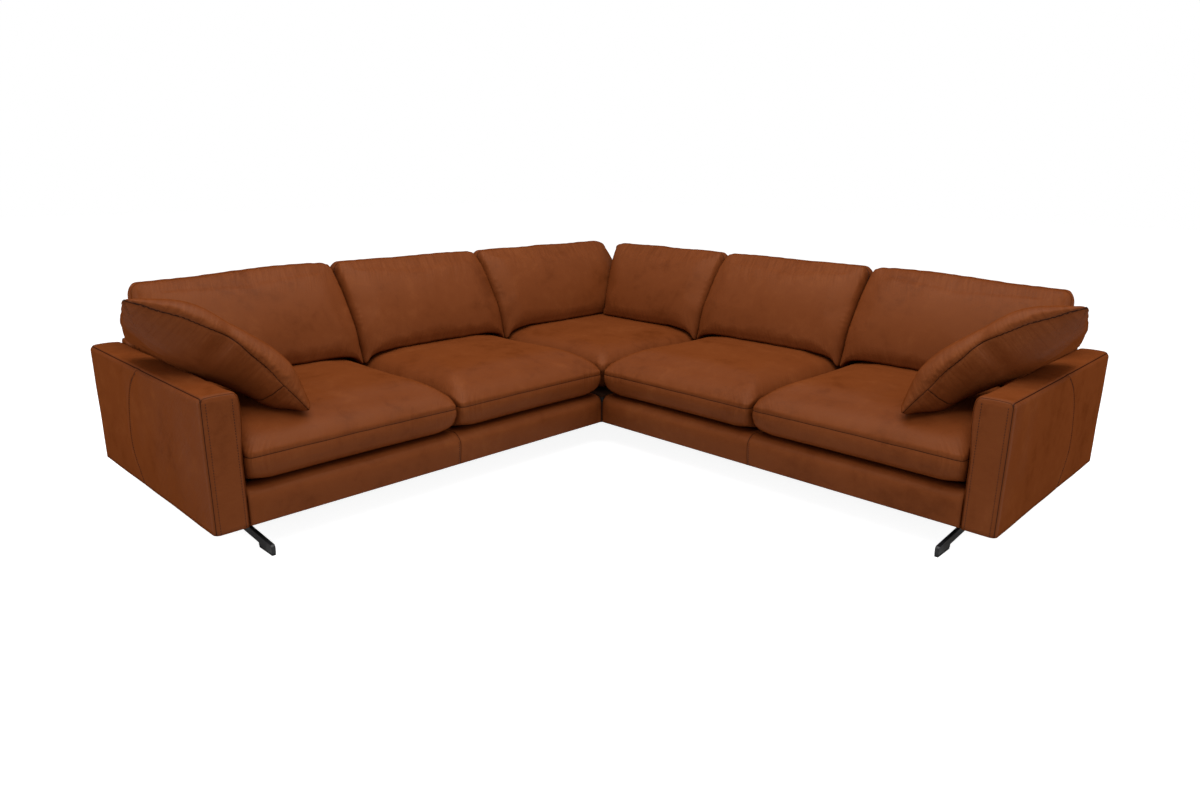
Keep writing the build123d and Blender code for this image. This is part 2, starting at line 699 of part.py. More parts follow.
with BuildPart() as wing_screws:
    for along, behind in leg_screws + tongue_screws:
        screw(along, behind, PLATE_BOTTOM)
save_pair(wing_screws, "screws")

# Corner: base frame, webbing, deck, dust cover and linings
corner_inner = (FRAME_START + TIMBER + GLUE_LINE, inner_rear)
corner_cross = CORNER_FEET[0][0] - TIMBER / 2
with BuildPart() as corner_base_frame:
    for behind in (FRAME_START, REAR_RAIL_FRONT):
        bar((-POST_FRONT, -FRAME_START), (behind, behind + TIMBER), (TIMBER_BOTTOM, TIMBER_TOP))
    for start in (-POST_FRONT, corner_cross, -FRAME_START - TIMBER):
        bar((start, start + TIMBER), corner_inner, (TIMBER_BOTTOM, TIMBER_TOP))
save(corner_base_frame, "corner_base_frame")

corner_run = deck_rear - FRAME_START - STRAP_WIDTH
corner_count = int(corner_run // STRAP_PITCH) + 1
corner_first = -deck_rear + (corner_run - (corner_count - 1) * STRAP_PITCH) / 2
with BuildPart() as corner_webbing:
    for i in range(corner_count):
        start = corner_first + i * STRAP_PITCH
        bar((start, start + STRAP_WIDTH), (FRAME_START, POST_FRONT), (TIMBER_TOP, STRAP_TOP))
save(corner_webbing, "corner_webbing")

with BuildPart() as corner_deck:
    bar((-deck_rear, -SECTION_GAP), (SECTION_GAP, deck_rear), (STRAP_TOP, DECK_TOP))
save(corner_deck, "corner_seat_deck")

with BuildPart() as corner_dust:
    bar(
        (BACK_REAR_WALL - DEPTH, -FRAME_START),
        (FRAME_START, DEPTH - BACK_REAR_WALL),
        (UNDERSIDE, TIMBER_BOTTOM),
    )
save(corner_dust, "corner_dust_cover")

with BuildPart() as corner_right_lining:
    bar((-FRAME_START, -SECTION_GAP), (SECTION_GAP, POST_FRONT), (UNDERSIDE, STRAP_TOP))
save(corner_right_lining, "corner_right_lining")

with BuildPart() as corner_left_lining:
    bar((-POST_FRONT, -FRAME_START), (SECTION_GAP, FRAME_START), (UNDERSIDE, STRAP_TOP))
save(corner_left_lining, "corner_left_lining")

# Corner: two straight back panels and their timber
with BuildPart() as corner_rear_blank:
    extrude(back_profile(-DEPTH), amount=DEPTH - SECTION_GAP)
with BuildPart() as corner_rear_cover:
    add(corner_rear_blank.part)
    extrude(
        back_cavity(BACK_REAR_WALL - DEPTH),
        amount=DEPTH - BACK_REAR_WALL - SECTION_GAP,
        mode=Mode.SUBTRACT,
    )
save(corner_rear_cover, "corner_rear_back_cover")

side_run = BACK_HEAD_FACE - SECTION_GAP
with BuildPart() as corner_side_blank:
    extrude(back_profile(-BACK_HEAD_FACE), amount=side_run)
    extrude(back_cavity(-BACK_HEAD_FACE), amount=side_run, mode=Mode.SUBTRACT)
with BuildPart() as corner_side_cover:
    mirror(corner_side_blank.part, about=DIAGONAL)
    add(corner_rear_blank.part, mode=Mode.SUBTRACT)
save(corner_side_cover, "corner_side_back_cover")

with BuildPart() as corner_side_boards:
    for start in (-DEPTH / 2, -SECTION_GAP - POST_WIDTH):
        bar((start, start + POST_WIDTH), (POST_FRONT, POST_REAR), (TIMBER_BOTTOM, post_top))
    bar((-BACK_FOOT_FACE, -SECTION_GAP), (POST_FRONT, POST_REAR), (cavity_top - TOP_RAIL, cavity_top))
with BuildPart() as corner_back_frame:
    for start in (-POST_REAR, -DEPTH / 2, -SECTION_GAP - POST_WIDTH):
        bar((start, start + POST_WIDTH), (POST_FRONT, POST_REAR), (TIMBER_BOTTOM, post_top))
    bar((-POST_REAR, -SECTION_GAP), (POST_FRONT, POST_REAR), (cavity_top - TOP_RAIL, cavity_top))
    mirror(corner_side_boards.part, about=DIAGONAL)
save(corner_back_frame, "corner_back_frame")

# Corner: block feet, clips that take the wings' tongues, and screws
with BuildPart() as corner_feet:
    for along, behind in CORNER_FEET:
        foot(along, behind)
save(corner_feet, "corner_feet")

clip_along = (-LINK_SETBACK - CLIP_LENGTH, -LINK_SETBACK)
clip_inner = LINK_WIDTH / 2 + LINK_PLAY
clip_outer = clip_inner + CLIP_WALL
clip_lip_top = PLATE_BOTTOM - LINK_PLAY
clip_screws = [
    (-FRAME_START - TIMBER / 2, behind + side * (clip_outer + CLIP_FLANGE / 2))
    for behind in LINK_BEHIND
    for side in (-1, 1)
]
with BuildPart() as right_clips:
    for behind in LINK_BEHIND:
        bar(
            clip_along,
            (behind - clip_outer - CLIP_FLANGE, behind + clip_outer + CLIP_FLANGE),
            (PLATE_BOTTOM, UNDERSIDE),
        )
        bar(clip_along, (behind - clip_outer, behind + clip_outer), (clip_lip_top - CLIP_WALL, UNDERSIDE))
        bar(
            clip_along,
            (behind - clip_inner, behind + clip_inner),
            (clip_lip_top, UNDERSIDE),
            Mode.SUBTRACT,
        )
    for along, behind in clip_screws:
        drill(along, behind, PLATE_BOTTOM, SCREW_HOLE_RADIUS, STEEL_PLATE)
with BuildPart() as link_clips:
    add(right_clips.part)
    mirror(right_clips.part, about=DIAGONAL)
save(link_clips, "link_clips")

with BuildPart() as right_clip_screws:
    for along, behind in clip_screws:
        screw(along, behind, PLATE_BOTTOM)
with BuildPart() as corner_screws:
    add(right_clip_screws.part)
    mirror(right_clip_screws.part, about=DIAGONAL)
save(corner_screws, "corner_screws")
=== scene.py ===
import math

import bmesh
import bpy
from mathutils import Matrix, Vector, noise
from mathutils.bvhtree import BVHTree


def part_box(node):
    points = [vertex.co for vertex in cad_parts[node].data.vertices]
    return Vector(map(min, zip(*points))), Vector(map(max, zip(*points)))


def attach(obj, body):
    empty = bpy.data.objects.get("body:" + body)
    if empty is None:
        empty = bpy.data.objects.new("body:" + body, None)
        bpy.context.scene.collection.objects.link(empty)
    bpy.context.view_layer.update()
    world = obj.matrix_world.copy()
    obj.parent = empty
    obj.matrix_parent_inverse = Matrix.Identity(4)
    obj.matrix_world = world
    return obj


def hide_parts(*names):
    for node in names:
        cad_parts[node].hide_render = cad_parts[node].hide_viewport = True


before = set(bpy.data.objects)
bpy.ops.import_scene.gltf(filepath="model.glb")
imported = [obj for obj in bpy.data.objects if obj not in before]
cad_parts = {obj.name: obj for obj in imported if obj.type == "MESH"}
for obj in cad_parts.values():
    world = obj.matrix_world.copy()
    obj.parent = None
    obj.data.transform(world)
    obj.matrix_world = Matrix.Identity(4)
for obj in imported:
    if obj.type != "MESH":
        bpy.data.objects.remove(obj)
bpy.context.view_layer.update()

# Leather corner sofa. Wing places are (along, behind, up) in metres: along a wing from the inner corner of
# the two fronts, behind the front face, up from the floor. The left wing mirrors the right in the diagonal.

# Places read from the frame
rail_low, rail_high = (Vector(c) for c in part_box("right_front_rail_cover"))
arm_low, arm_high = (Vector(c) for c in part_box("right_arm_cover"))
back_low, back_high = (Vector(c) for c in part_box("right_back_cover"))
SECTION_GAP = 0.001
APEX = Vector((rail_low.x - SECTION_GAP, rail_low.y, 0))
UNDERSIDE = rail_low.z
DECK_TOP = rail_high.z
ARM_FACE = arm_low.x - APEX.x
ARM_END = arm_high.x - APEX.x
ARM_TOP = arm_high.z
DEPTH = arm_high.y - APEX.y
BACK_TOP = back_high.z
BACK_FOOT_FACE = back_low.y - APEX.y

# Leather colours, as light as they are in even light
HIDE_DARK = (0.128, 0.030, 0.0065, 1)
HIDE_MID = (0.168, 0.042, 0.0105, 1)
HIDE_LIGHT = (0.205, 0.056, 0.0155, 1)
SEAM_SHADE = (0.030, 0.0070, 0.0025, 1)

# Cushion making
VOXEL = 0.0105
SCATTER_VOXEL = 0.0075
START_SMALLER = 0.003
SWELL_CAP = 0.024
SIM_FRAMES = 20
BLANK_TURNS = 4
SETTLE_TURNS = 8
CALM_TURNS = 24
CLOTH = {
    "quality": 4, "mass": 0.35, "tension_stiffness": 12, "compression_stiffness": 8, "shear_stiffness": 5,
    "bending_stiffness": 0.6, "use_pressure": True, "uniform_pressure_force": 4.0,
    "vertex_group_mass": "held",
}

# Seams, and puckers beside them, with painted shade beside the seams and painted highlights and shade on the
# puckers: a gap of NO_SEAM is out of reach of the seam
SEAT_SEAM = DECK_TOP + 0.108
SEAM_HALF = 0.0019
# Reach of the painted shade that darkens the leather beside every seam
SEAM_PAINTED_SHADE_REACH = 0.011
SEAM_GROOVE = 0.0065
NO_SEAM = 1.0
RAIL_SEAM_ALONG = 0.822
PUCKERS_PER_METRE = 88.0
PUCKER_STRETCH = 9.0
PUCKER_REACH = 0.16
PUCKER_HEIGHT = 2.6
# How far the colour of pucker ridges goes to the light tone (painted highlight) and the colour of their
# hollows goes to the dark tone (painted shade)
PUCKER_PAINTED_HIGHLIGHT = 0.36
PUCKER_PAINTED_SHADE = 0.40

# Arms
ARM_ROUND = 0.020
ARM_SLICE = 0.014
ARM_SKIN = 0.012
# Curved seam on the arm's outer side: up, behind
ARM_CURVE = ((0.110, 0.648), (0.132, 0.662), (0.246, 0.715), (0.372, 0.700), (0.502, 0.645), (0.574, 0.552))

# Scatter cushion, as in the solid: lower front tip, turns, tilt of the long edge, rise of the short one
SCATTER_TIP = (1.410, 0.060, 0.4403)
SCATTER_LENGTH = 0.685
SCATTER_REAR_SHORTER = 0.120
SCATTER_DEPTH = 0.420
SCATTER_TURN = math.radians(28.0)
SCATTER_BACK_TURN = math.radians(15.0)
SCATTER_TILT = math.radians(37.95)
SCATTER_REAR_TILT = math.radians(18.0)
SCATTER_RISE = math.radians(5.5)
SCATTER_EDGE_ARCH = 0.080
SCATTER_PINCH = 0.52
ZIP_SHARE = 0.19

# Camera, solved from the photo's straight edges
CAMERA_PLACE = (2.2137, -2.3258, 1.2858)
CAMERA_HEADING = math.radians(133.935)
CAMERA_PITCH = 0.2757
CAMERA_ROLL = 0.0107
CAMERA_LENS = 25.01
SENSOR = 36.0

DIAGONAL_MIRROR = Matrix(((0, -1, 0, 0), (-1, 0, 0, 0), (0, 0, 1, 0), (0, 0, 0, 1)))


def smooth(low, high, value):
    """0 below low, 1 above high, eased between."""
    t = min(1.0, max(0.0, (value - low) / (high - low)))
    return t * t * (3 - 2 * t)


def curve_at(points, at):
    """The value at a place on a smooth curve through listed (place, value) points."""
    if at <= points[0][0]:
        return points[0][1]
    for i in range(1, len(points)):
        (low, a), (high, b) = points[i - 1], points[i]
        if at <= high:
            before = points[max(0, i - 2)]
            after = points[min(len(points) - 1, i + 1)]
            span = high - low
            rise_a = (b - before[1]) / (high - before[0]) * span
            rise_b = (after[1] - a) / (after[0] - low) * span
            t = (at - low) / span
            ease = t * t * (3 - 2 * t)
            return a + (b - a) * ease + t * (1 - t) * (rise_a * (1 - t) - rise_b * t)
    return points[-1][1]


def wing_place(along, behind, up):
    """A right wing place in the frame."""
    return Vector((APEX.x + along, APEX.y + behind, up))


def on_right_wing(co):
    """(along, behind, up) of a point of the right wing or of the corner's right side."""
    return co.x - APEX.x, co.y - APEX.y, co.z


# Node helpers

def put(tree, kind, settings=None, **inputs):
    """A node with its settings and its plain input values."""
    made = tree.nodes.new(kind)
    for key, value in (settings or {}).items():
        setattr(made, key, value)
    for key, value in inputs.items():
        made.inputs[key.replace("_", " ")].default_value = value
    return made


def sums(tree, operation, a, b=None):
    """A math node on sockets or numbers."""
    made = put(tree, "ShaderNodeMath", {"operation": operation})
    for socket, value in zip(made.inputs, (a, b)):
        if value is None:
            continue
        if isinstance(value, (int, float)):
            socket.default_value = value
        else:
            tree.links.new(value, socket)
    return made.outputs[0]


def ramp(tree, value, low, high, to_low=0.0, to_high=1.0, kind="SMOOTHSTEP"):
    """A value carried from one span to another."""
    made = put(tree, "ShaderNodeMapRange", {"interpolation_type": kind})
    made.inputs["From Min"].default_value = low
    made.inputs["From Max"].default_value = high
    made.inputs["To Min"].default_value = to_low
    made.inputs["To Max"].default_value = to_high
    tree.links.new(value, made.inputs["Value"])
    return made.outputs["Result"]


def blend_colour(tree, share, a, b):
    """A mix of two colours, each a socket or a fixed colour."""
    made = put(tree, "ShaderNodeMix", {"data_type": "RGBA"})
    tree.links.new(share, made.inputs["Factor"])
    for socket, value in ((made.inputs[6], a), (made.inputs[7], b)):
        if isinstance(value, tuple):
            socket.default_value = value
        else:
            tree.links.new(value, socket)
    return made.outputs[2]


def total(tree, *terms):
    """A sum of (socket, weight) terms."""
    result = None
    for socket, weight in terms:
        term = sums(tree, "MULTIPLY", socket, weight)
        result = term if result is None else sums(tree, "ADD", result, term)
    return result


def stored(tree, name):
    """A value stored on the mesh."""
    made = put(tree, "ShaderNodeAttribute", {"attribute_name": name, "attribute_type": "GEOMETRY"})
    return made.outputs["Fac"]


def clouds(tree, vector, scale, detail=3.0, rough=0.55, twist=0.0):
    """A noise value on given coordinates."""
    made = put(tree, "ShaderNodeTexNoise", Scale=scale, Detail=detail, Roughness=rough, Distortion=twist)
    tree.links.new(vector, made.inputs["Vector"])
    return made.outputs["Fac"]


COLOUR, VALUE, VECTOR = "NodeSocketColor", "NodeSocketFloat", "NodeSocketVector"
SURFACE = {"Color": COLOUR, "Roughness": VALUE, "Height": VALUE}
MILLIMETRE = 0.001


def new_group(name, **inputs):
    """An empty shader node group for a surface; returns the group, its input and its output node."""
    group = bpy.data.node_groups.new(name, "ShaderNodeTree")
    for way, sockets in (("INPUT", inputs), ("OUTPUT", SURFACE)):
        for label, kind in sockets.items():
            group.interface.new_socket(label, in_out=way, socket_type=kind)
    return group, group.nodes.new("NodeGroupInput"), group.nodes.new("NodeGroupOutput")


def give(group, out, *sockets):
    """Let a group give its colour, roughness and height; returns the group."""
    for label, socket in zip(SURFACE, sockets):
        group.links.new(socket, out.inputs[label])
    return group


def hide_group():
    """Leather: mottled colour, satin roughness and height in millimetres, with seams and puckers; the colour
    holds painted highlights on the pucker ridges, painted shade in their hollows and painted shade beside the
    seams.
    """
    group, given, out = new_group("hide", Dark=COLOUR, Mid=COLOUR, Light=COLOUR, Seam=COLOUR)
    place = put(group, "ShaderNodeTexCoord").outputs["Object"]
    dark, mid, light, seam = (given.outputs[name] for name in ("Dark", "Mid", "Light", "Seam"))
    broad = clouds(group, place, scale=4.2, detail=4.0, rough=0.5, twist=0.6)
    patch = clouds(group, place, scale=21.0, detail=4.0, rough=0.6, twist=0.4)
    speck = clouds(group, place, scale=160.0, detail=2.0, rough=0.6)
    tone = total(group, (broad, 0.55), (patch, 0.35), (speck, 0.10))
    colour = blend_colour(group, ramp(group, tone, low=0.30, high=0.50), dark, mid)
    colour = blend_colour(group, ramp(group, tone, low=0.50, high=0.74), colour, light)

    near = None
    for name in ("seam_1", "seam_2", "seam_3"):
        gap = sums(group, "ABSOLUTE", stored(group, name))
        near = gap if near is None else sums(group, "MINIMUM", near, gap)

    gather_place = put(group, "ShaderNodeCombineXYZ")
    gathered = sums(group, "MULTIPLY", stored(group, "along"), PUCKERS_PER_METRE)
    group.links.new(gathered, gather_place.inputs["X"])
    group.links.new(sums(group, "MULTIPLY", near, PUCKER_STRETCH), gather_place.inputs["Y"])
    gather = clouds(group, gather_place.outputs["Vector"], scale=1.0, detail=2.0, rough=0.5, twist=0.4)
    streak = sums(group, "MULTIPLY", sums(group, "SUBTRACT", gather, 0.5), stored(group, "pull"))
    # Painted highlight and painted shade: pucker ridges are tinted towards the light tone and their hollows
    # towards the dark tone, as light would fall on them; the height below is the real relief
    painted_pucker_highlight = ramp(group, streak, low=0.0, high=PUCKER_REACH, to_high=PUCKER_PAINTED_HIGHLIGHT)
    hollow = ramp(group, streak, low=-PUCKER_REACH, high=0.0, to_low=PUCKER_PAINTED_SHADE, to_high=0.0)
    colour = blend_colour(group, painted_pucker_highlight, colour, light)
    colour = blend_colour(group, hollow, colour, dark)

    line = ramp(group, near, low=SEAM_HALF * 0.45, high=SEAM_HALF, to_low=1.0, to_high=0.0)
    # Painted shade: the colour darkens towards the dark tone near every seam, as in the shade of its groove
    painted_seam_shade = ramp(group, near, low=0.0, high=SEAM_PAINTED_SHADE_REACH, to_low=0.30, to_high=0.0)
    colour = blend_colour(group, painted_seam_shade, colour, dark)
    colour = blend_colour(group, line, colour, seam)

    pores = put(group, "ShaderNodeTexVoronoi", {"feature": "DISTANCE_TO_EDGE"}, Scale=330.0)
    group.links.new(place, pores.inputs["Vector"])
    grain = ramp(group, pores.outputs["Distance"], low=0.0, high=0.32, to_high=0.045)
    fold = clouds(group, place, scale=26.0, detail=3.0, rough=0.62, twist=1.4)
    folded = sums(group, "ABSOLUTE", sums(group, "SUBTRACT", fold, 0.5))
    crease = ramp(group, folded, low=0.0, high=0.035, to_high=0.09)
    groove = ramp(group, near, low=0.0, high=SEAM_GROOVE, to_high=1.3)
    height = total(group, (grain, 1.0), (crease, 1.0), (groove, 1.0), (streak, PUCKER_HEIGHT))

    rough = ramp(group, patch, low=0.3, high=0.7, to_low=0.43, to_high=0.52, kind="LINEAR")
    rough = total(group, (rough, 1.0), (line, 0.2))
    return give(group, out, colour, rough, height)


def weave_group():
    """Woven cloth: thread colour and height in millimetres, for flat sheets or for upright ones."""
    group, given, out = new_group("weave", Thread=COLOUR, Gap=COLOUR, Threads=VALUE, Upright=VALUE)
    place = put(group, "ShaderNodeTexCoord").outputs["Object"]
    axes = put(group, "ShaderNodeSeparateXYZ")
    group.links.new(place, axes.inputs[0])
    x, y, z = axes.outputs
    upright = given.outputs["Upright"]
    level = sums(group, "SUBTRACT", 1.0, upright)
    warp = sums(group, "ADD", x, sums(group, "MULTIPLY", y, upright))
    weft = sums(group, "ADD", sums(group, "MULTIPLY", y, level), sums(group, "MULTIPLY", z, upright))
    rows = sums(group, "SINE", sums(group, "MULTIPLY", warp, given.outputs["Threads"]))
    lines = sums(group, "SINE", sums(group, "MULTIPLY", weft, given.outputs["Threads"]))
    over = sums(group, "MULTIPLY", rows, lines)
    lift = ramp(group, over, low=-1.0, high=1.0, to_high=0.25)
    worn = clouds(group, place, scale=30.0, detail=4.0, rough=0.6)
    faded = ramp(group, worn, low=0.25, high=0.75, to_low=0.6)
    share = sums(group, "MULTIPLY", ramp(group, over, low=-0.8, high=0.8), faded)
    colour = blend_colour(group, share, given.outputs["Gap"], given.outputs["Thread"])
    rough = ramp(group, worn, low=0.2, high=0.8, to_low=0.8, to_high=0.95, kind="LINEAR")
    return give(group, out, colour, rough, lift)


def worn_group():
    """Hard finishes: a tone that drifts, fine specks and rubbed streaks."""
    group, given, out = new_group(
        "worn", Base=COLOUR, Rubbed=COLOUR, Streak=VECTOR, Smooth=VALUE, Rough=VALUE,
    )
    place = put(group, "ShaderNodeTexCoord").outputs["Object"]
    drawn = put(group, "ShaderNodeVectorMath", {"operation": "MULTIPLY"})
    group.links.new(place, drawn.inputs[0])
    group.links.new(given.outputs["Streak"], drawn.inputs[1])
    streak = clouds(group, drawn.outputs[0], scale=1.0, detail=5.0, rough=0.65, twist=0.3)
    drift = clouds(group, place, scale=14.0)
    speck = clouds(group, place, scale=900.0, detail=1.0)
    share = ramp(group, total(group, (streak, 0.7), (drift, 0.3)), low=0.36, high=0.66)
    colour = blend_colour(group, share, given.outputs["Base"], given.outputs["Rubbed"])
    spread = sums(group, "SUBTRACT", given.outputs["Rough"], given.outputs["Smooth"])
    rough = sums(group, "ADD", given.outputs["Smooth"], sums(group, "MULTIPLY", spread, share))
    return give(group, out, colour, rough, total(group, (streak, 0.05), (speck, 0.03)))


def finish_material(name, group, values, fixed, shine=None):
    """A material on one shader whose colour, roughness and bump come from a shared group.

    shine is (face on, edge on): how much it reflects, for skins that stay dull where they turn away.
    """
    made = bpy.data.materials.new(name)
    made.use_nodes = True
    tree = made.node_tree
    shader = tree.nodes["Principled BSDF"]
    for key, value in fixed.items():
        shader.inputs[key].default_value = value
    surface = put(tree, "ShaderNodeGroup", {"node_tree": group})
    for key, value in values.items():
        surface.inputs[key].default_value = value
    tree.links.new(surface.outputs["Color"], shader.inputs["Base Color"])
    tree.links.new(surface.outputs["Roughness"], shader.inputs["Roughness"])
    relief = put(tree, "ShaderNodeBump", Strength=1.0, Distance=MILLIMETRE)
    tree.links.new(surface.outputs["Height"], relief.inputs["Height"])
    tree.links.new(relief.outputs["Normal"], shader.inputs["Normal"])
    if shine:
        turned = put(tree, "ShaderNodeLayerWeight", Blend=0.3).outputs["Facing"]
        reflects = ramp(tree, turned, 0.10, 0.56, *shine)
        tree.links.new(reflects, shader.inputs["Specular IOR Level"])
    return made


hide = hide_group()
weave = weave_group()
worn = worn_group()

LEATHER = finish_material(
    "tan_leather", hide,
    {"Dark": HIDE_DARK, "Mid": HIDE_MID, "Light": HIDE_LIGHT, "Seam": SEAM_SHADE},
    {"Specular Tint": (1.0, 0.62, 0.40, 1)},
    shine=(0.14, 0.0),
)


def cloth(name, thread, gap, threads, upright, reflects):
    """A woven material; upright is 1 for cloth that stands and 0 for cloth that lies."""
    values = {"Thread": thread + (1,), "Gap": gap + (1,), "Threads": threads, "Upright": upright}
    return finish_material(name, weave, values, {"Specular IOR Level": reflects})


def hard(name, base, rubbed, streak, rough, **fixed):
    """A hard finish; rough is (where rubbed least, where rubbed most)."""
    values = {
        "Base": base + (1,), "Rubbed": rubbed + (1,), "Streak": streak, "Smooth": rough[0], "Rough": rough[1],
    }
    fixed = {key.replace("_", " "): value for key, value in fixed.items()}
    return finish_material(name, worn, values, fixed)


BLACK_THREADS = {"thread": (0.030, 0.028, 0.027), "gap": (0.008, 0.008, 0.008), "threads": 1500.0}
THREAD = cloth(
    "stitch_thread", (0.026, 0.007, 0.003), (0.010, 0.003, 0.002), 2600.0, upright=1.0, reflects=0.3,
)
LINING = cloth("black_lining", **BLACK_THREADS, upright=0.0, reflects=0.2)
# The decks' lining is coloured dark brown, as the leather looks in shade, so that where a deck shows between
# the cushions it passes for shaded leather: painted shade on a real lining
DECK_LINING_AS_SHADED_LEATHER = cloth(
    "deck_lining_painted_leather_shade", (0.050, 0.016, 0.006), (0.016, 0.006, 0.003), 1500.0, upright=0.0, reflects=0.1,
)
SIDE_LINING = cloth("black_side_lining", **BLACK_THREADS, upright=1.0, reflects=0.2)
WEBBING = cloth("grey_webbing", (0.16, 0.15, 0.13), (0.05, 0.045, 0.04), 900.0, upright=0.0, reflects=0.2)
TIMBER = hard(
    "raw_timber", (0.50, 0.33, 0.18), (0.66, 0.48, 0.29), streak=(9.0, 9.0, 120.0), rough=(0.55, 0.75),
    Specular_IOR_Level=0.3,
)
BLACK_METAL = hard(
    "black_satin_metal", (0.012, 0.012, 0.013), (0.026, 0.026, 0.028), streak=(60.0, 60.0, 90.0),
    rough=(0.30, 0.42), Specular_IOR_Level=0.55, Metallic=0.25,
)
BLACK_PLASTIC = hard(
    "black_moulded_plastic", (0.016, 0.016, 0.016), (0.030, 0.030, 0.030), streak=(240.0, 240.0, 240.0),
    rough=(0.50, 0.66), Specular_IOR_Level=0.4,
)
PAD_RUBBER = hard(
    "black_pad_rubber", (0.014, 0.014, 0.014), (0.034, 0.033, 0.032), streak=(400.0, 400.0, 60.0),
    rough=(0.75, 0.92), Specular_IOR_Level=0.3,
)
LINK_STEEL = hard(
    "plated_steel", (0.46, 0.46, 0.47), (0.62, 0.62, 0.63), streak=(30.0, 400.0, 400.0), rough=(0.28, 0.44),
    Metallic=1.0,
)


# Meshes

def cad_copy(name):
    """A merged copy of a CAD node's mesh."""
    bm = bmesh.new()
    bm.from_mesh(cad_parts[name].data)
    bmesh.ops.remove_doubles(bm, verts=bm.verts, dist=1e-5)
    return bm


def as_object(name, bm):
    """A new object at the origin with this mesh, smooth shaded."""
    mesh = bpy.data.meshes.new(name)
    bm.to_mesh(mesh)
    bm.free()
    mesh.shade_smooth()
    made = bpy.data.objects.new(name, mesh)
    bpy.context.scene.collection.objects.link(made)
    return made


def evaluated_mesh(obj):
    """The mesh that an object's modifiers give now."""
    deps = bpy.context.evaluated_depsgraph_get()
    return bpy.data.meshes.new_from_object(obj.evaluated_get(deps))


def ease(bm, verts, factor):
    """Move points towards the middle of their neighbours, or away where the factor is below zero."""
    bmesh.ops.smooth_vert(bm, verts=verts, factor=factor, use_axis_x=True, use_axis_y=True, use_axis_z=True)


def round_edges(bm, edges, radius, segments):
    """Round edges off."""
    bmesh.ops.bevel(
        bm, geom=edges, offset=radius, offset_type="OFFSET", affect="EDGES", segments=segments, profile=0.5,
        material=-1,
    )


def all_of(bm):
    """Every point, edge and face of a mesh."""
    return bm.verts[:] + bm.edges[:] + bm.faces[:]


def surface_of(mesh):
    """A mesh's surface, for finding places on it."""
    return BVHTree.FromPolygons([v.co for v in mesh.vertices], [list(p.vertices) for p in mesh.polygons])


def even_out(bm, turns):
    """Ease every point towards its neighbours, then back so that the form keeps its size."""
    for turn in range(turns):
        ease(bm, bm.verts, 0.5)
        ease(bm, bm.verts, -0.5)


def even_blank(name, voxel):
    """A CAD solid as an even closed skin of small squares, smoothed and a little small."""
    source = as_object(name + "_blank", cad_copy(name))
    even = source.modifiers.new("even", "REMESH")
    even.mode = "VOXEL"
    even.voxel_size = voxel
    mesh = evaluated_mesh(source)
    bpy.data.objects.remove(source)
    bm = bmesh.new()
    bm.from_mesh(mesh)
    bpy.data.meshes.remove(mesh)
    even_out(bm, BLANK_TURNS)
    bm.normal_update()
    for v in bm.verts:
        v.co -= v.normal * START_SMALLER
    return bm


class Cushion:
    """One soft piece: its CAD solid, how it is held while it swells, where its seams and puckers are."""

    def __init__(self, node, voxel, held, broad, room, slack, seams, gathers, droop):
        self.node = node
        self.broad = broad
        self.held = held
        self.room = room
        self.slack = slack
        self.seams = seams
        self.gathers = gathers
        self.droop = droop
        solid = cad_copy(node)
        self.shape = BVHTree.FromBMesh(solid)
        solid.free()
        self.obj = as_object(node + "_form", even_blank(node, voxel))
        self.start = [v.co.copy() for v in self.obj.data.vertices]

    def swell(self):
        """Add the cloth that pressure will fill."""
        pins = self.obj.vertex_groups.new(name="held")
        for v in self.obj.data.vertices:
            weight = self.held(v.co, v.normal)
            if weight > 0:
                pins.add([v.index], weight, "REPLACE")
        filled = self.obj.modifiers.new("cloth", "CLOTH")
        for key, value in CLOTH.items():
            setattr(filled.settings, key, value)
        filled.settings.effector_weights.gravity = 0
        filled.collision_settings.use_collision = False
        filled.point_cache.frame_end = SIM_FRAMES

    def settle(self):
        """Take the swollen form, keep it within its own room and drop the cloth."""
        mesh = evaluated_mesh(self.obj)
        self.obj.modifiers.clear()
        self.obj.data = mesh
        bm = bmesh.new()
        bm.from_mesh(mesh)
        for v, start in zip(bm.verts, self.start):
            move = v.co - start
            if move.length > SWELL_CAP:
                v.co = start + move.normalized() * SWELL_CAP
        self.fit(bm)
        even_out(bm, SETTLE_TURNS)
        bm.normal_update()
        shares = [(v, self.broad(v.co, v.normal)) for v in bm.verts]
        for turn in range(CALM_TURNS):
            ease(bm, [v for v, share in shares if share * CALM_TURNS > turn], 0.5)
        bm.to_mesh(mesh)
        bm.free()

    def fit(self, bm):
        """Ease every point between its slack under the solid's surface and its room over it."""
        for v in bm.verts:
            place, normal, index, gap = self.shape.find_nearest(v.co)
            out = (v.co - place).dot(normal)
            room = self.room(v.co, normal)
            slack = self.slack(v.co, normal)
            if out > 0:
                out = room * math.tanh(out / room) if room > 0.001 else room
            else:
                out = min(room, -slack * math.tanh(-out / slack))
            v.co = place + normal * out

    def keep_in(self, bm):
        """Ease every point that stands out of the solid by more than its room back to that room."""
        for v in bm.verts:
            place, normal, index, gap = self.shape.find_nearest(v.co)
            room = self.room(v.co, normal)
            if (v.co - place).dot(normal) > room:
                v.co = place + normal * room

    def dress(self):
        """Press in the seams and puckers, then store the seam places for the leather."""
        mesh = self.obj.data
        bm = bmesh.new()
        bm.from_mesh(mesh)
        bm.normal_update()
        for v in bm.verts:
            push = self.gathers(v.co, v.normal)
            v.co += v.normal * push
        self.keep_in(bm)
        for v in bm.verts:
            v.co.z -= self.droop(v.co)
        bm.normal_update()
        bm.to_mesh(mesh)
        bm.free()
        mark_seams(self.obj, self.seams)


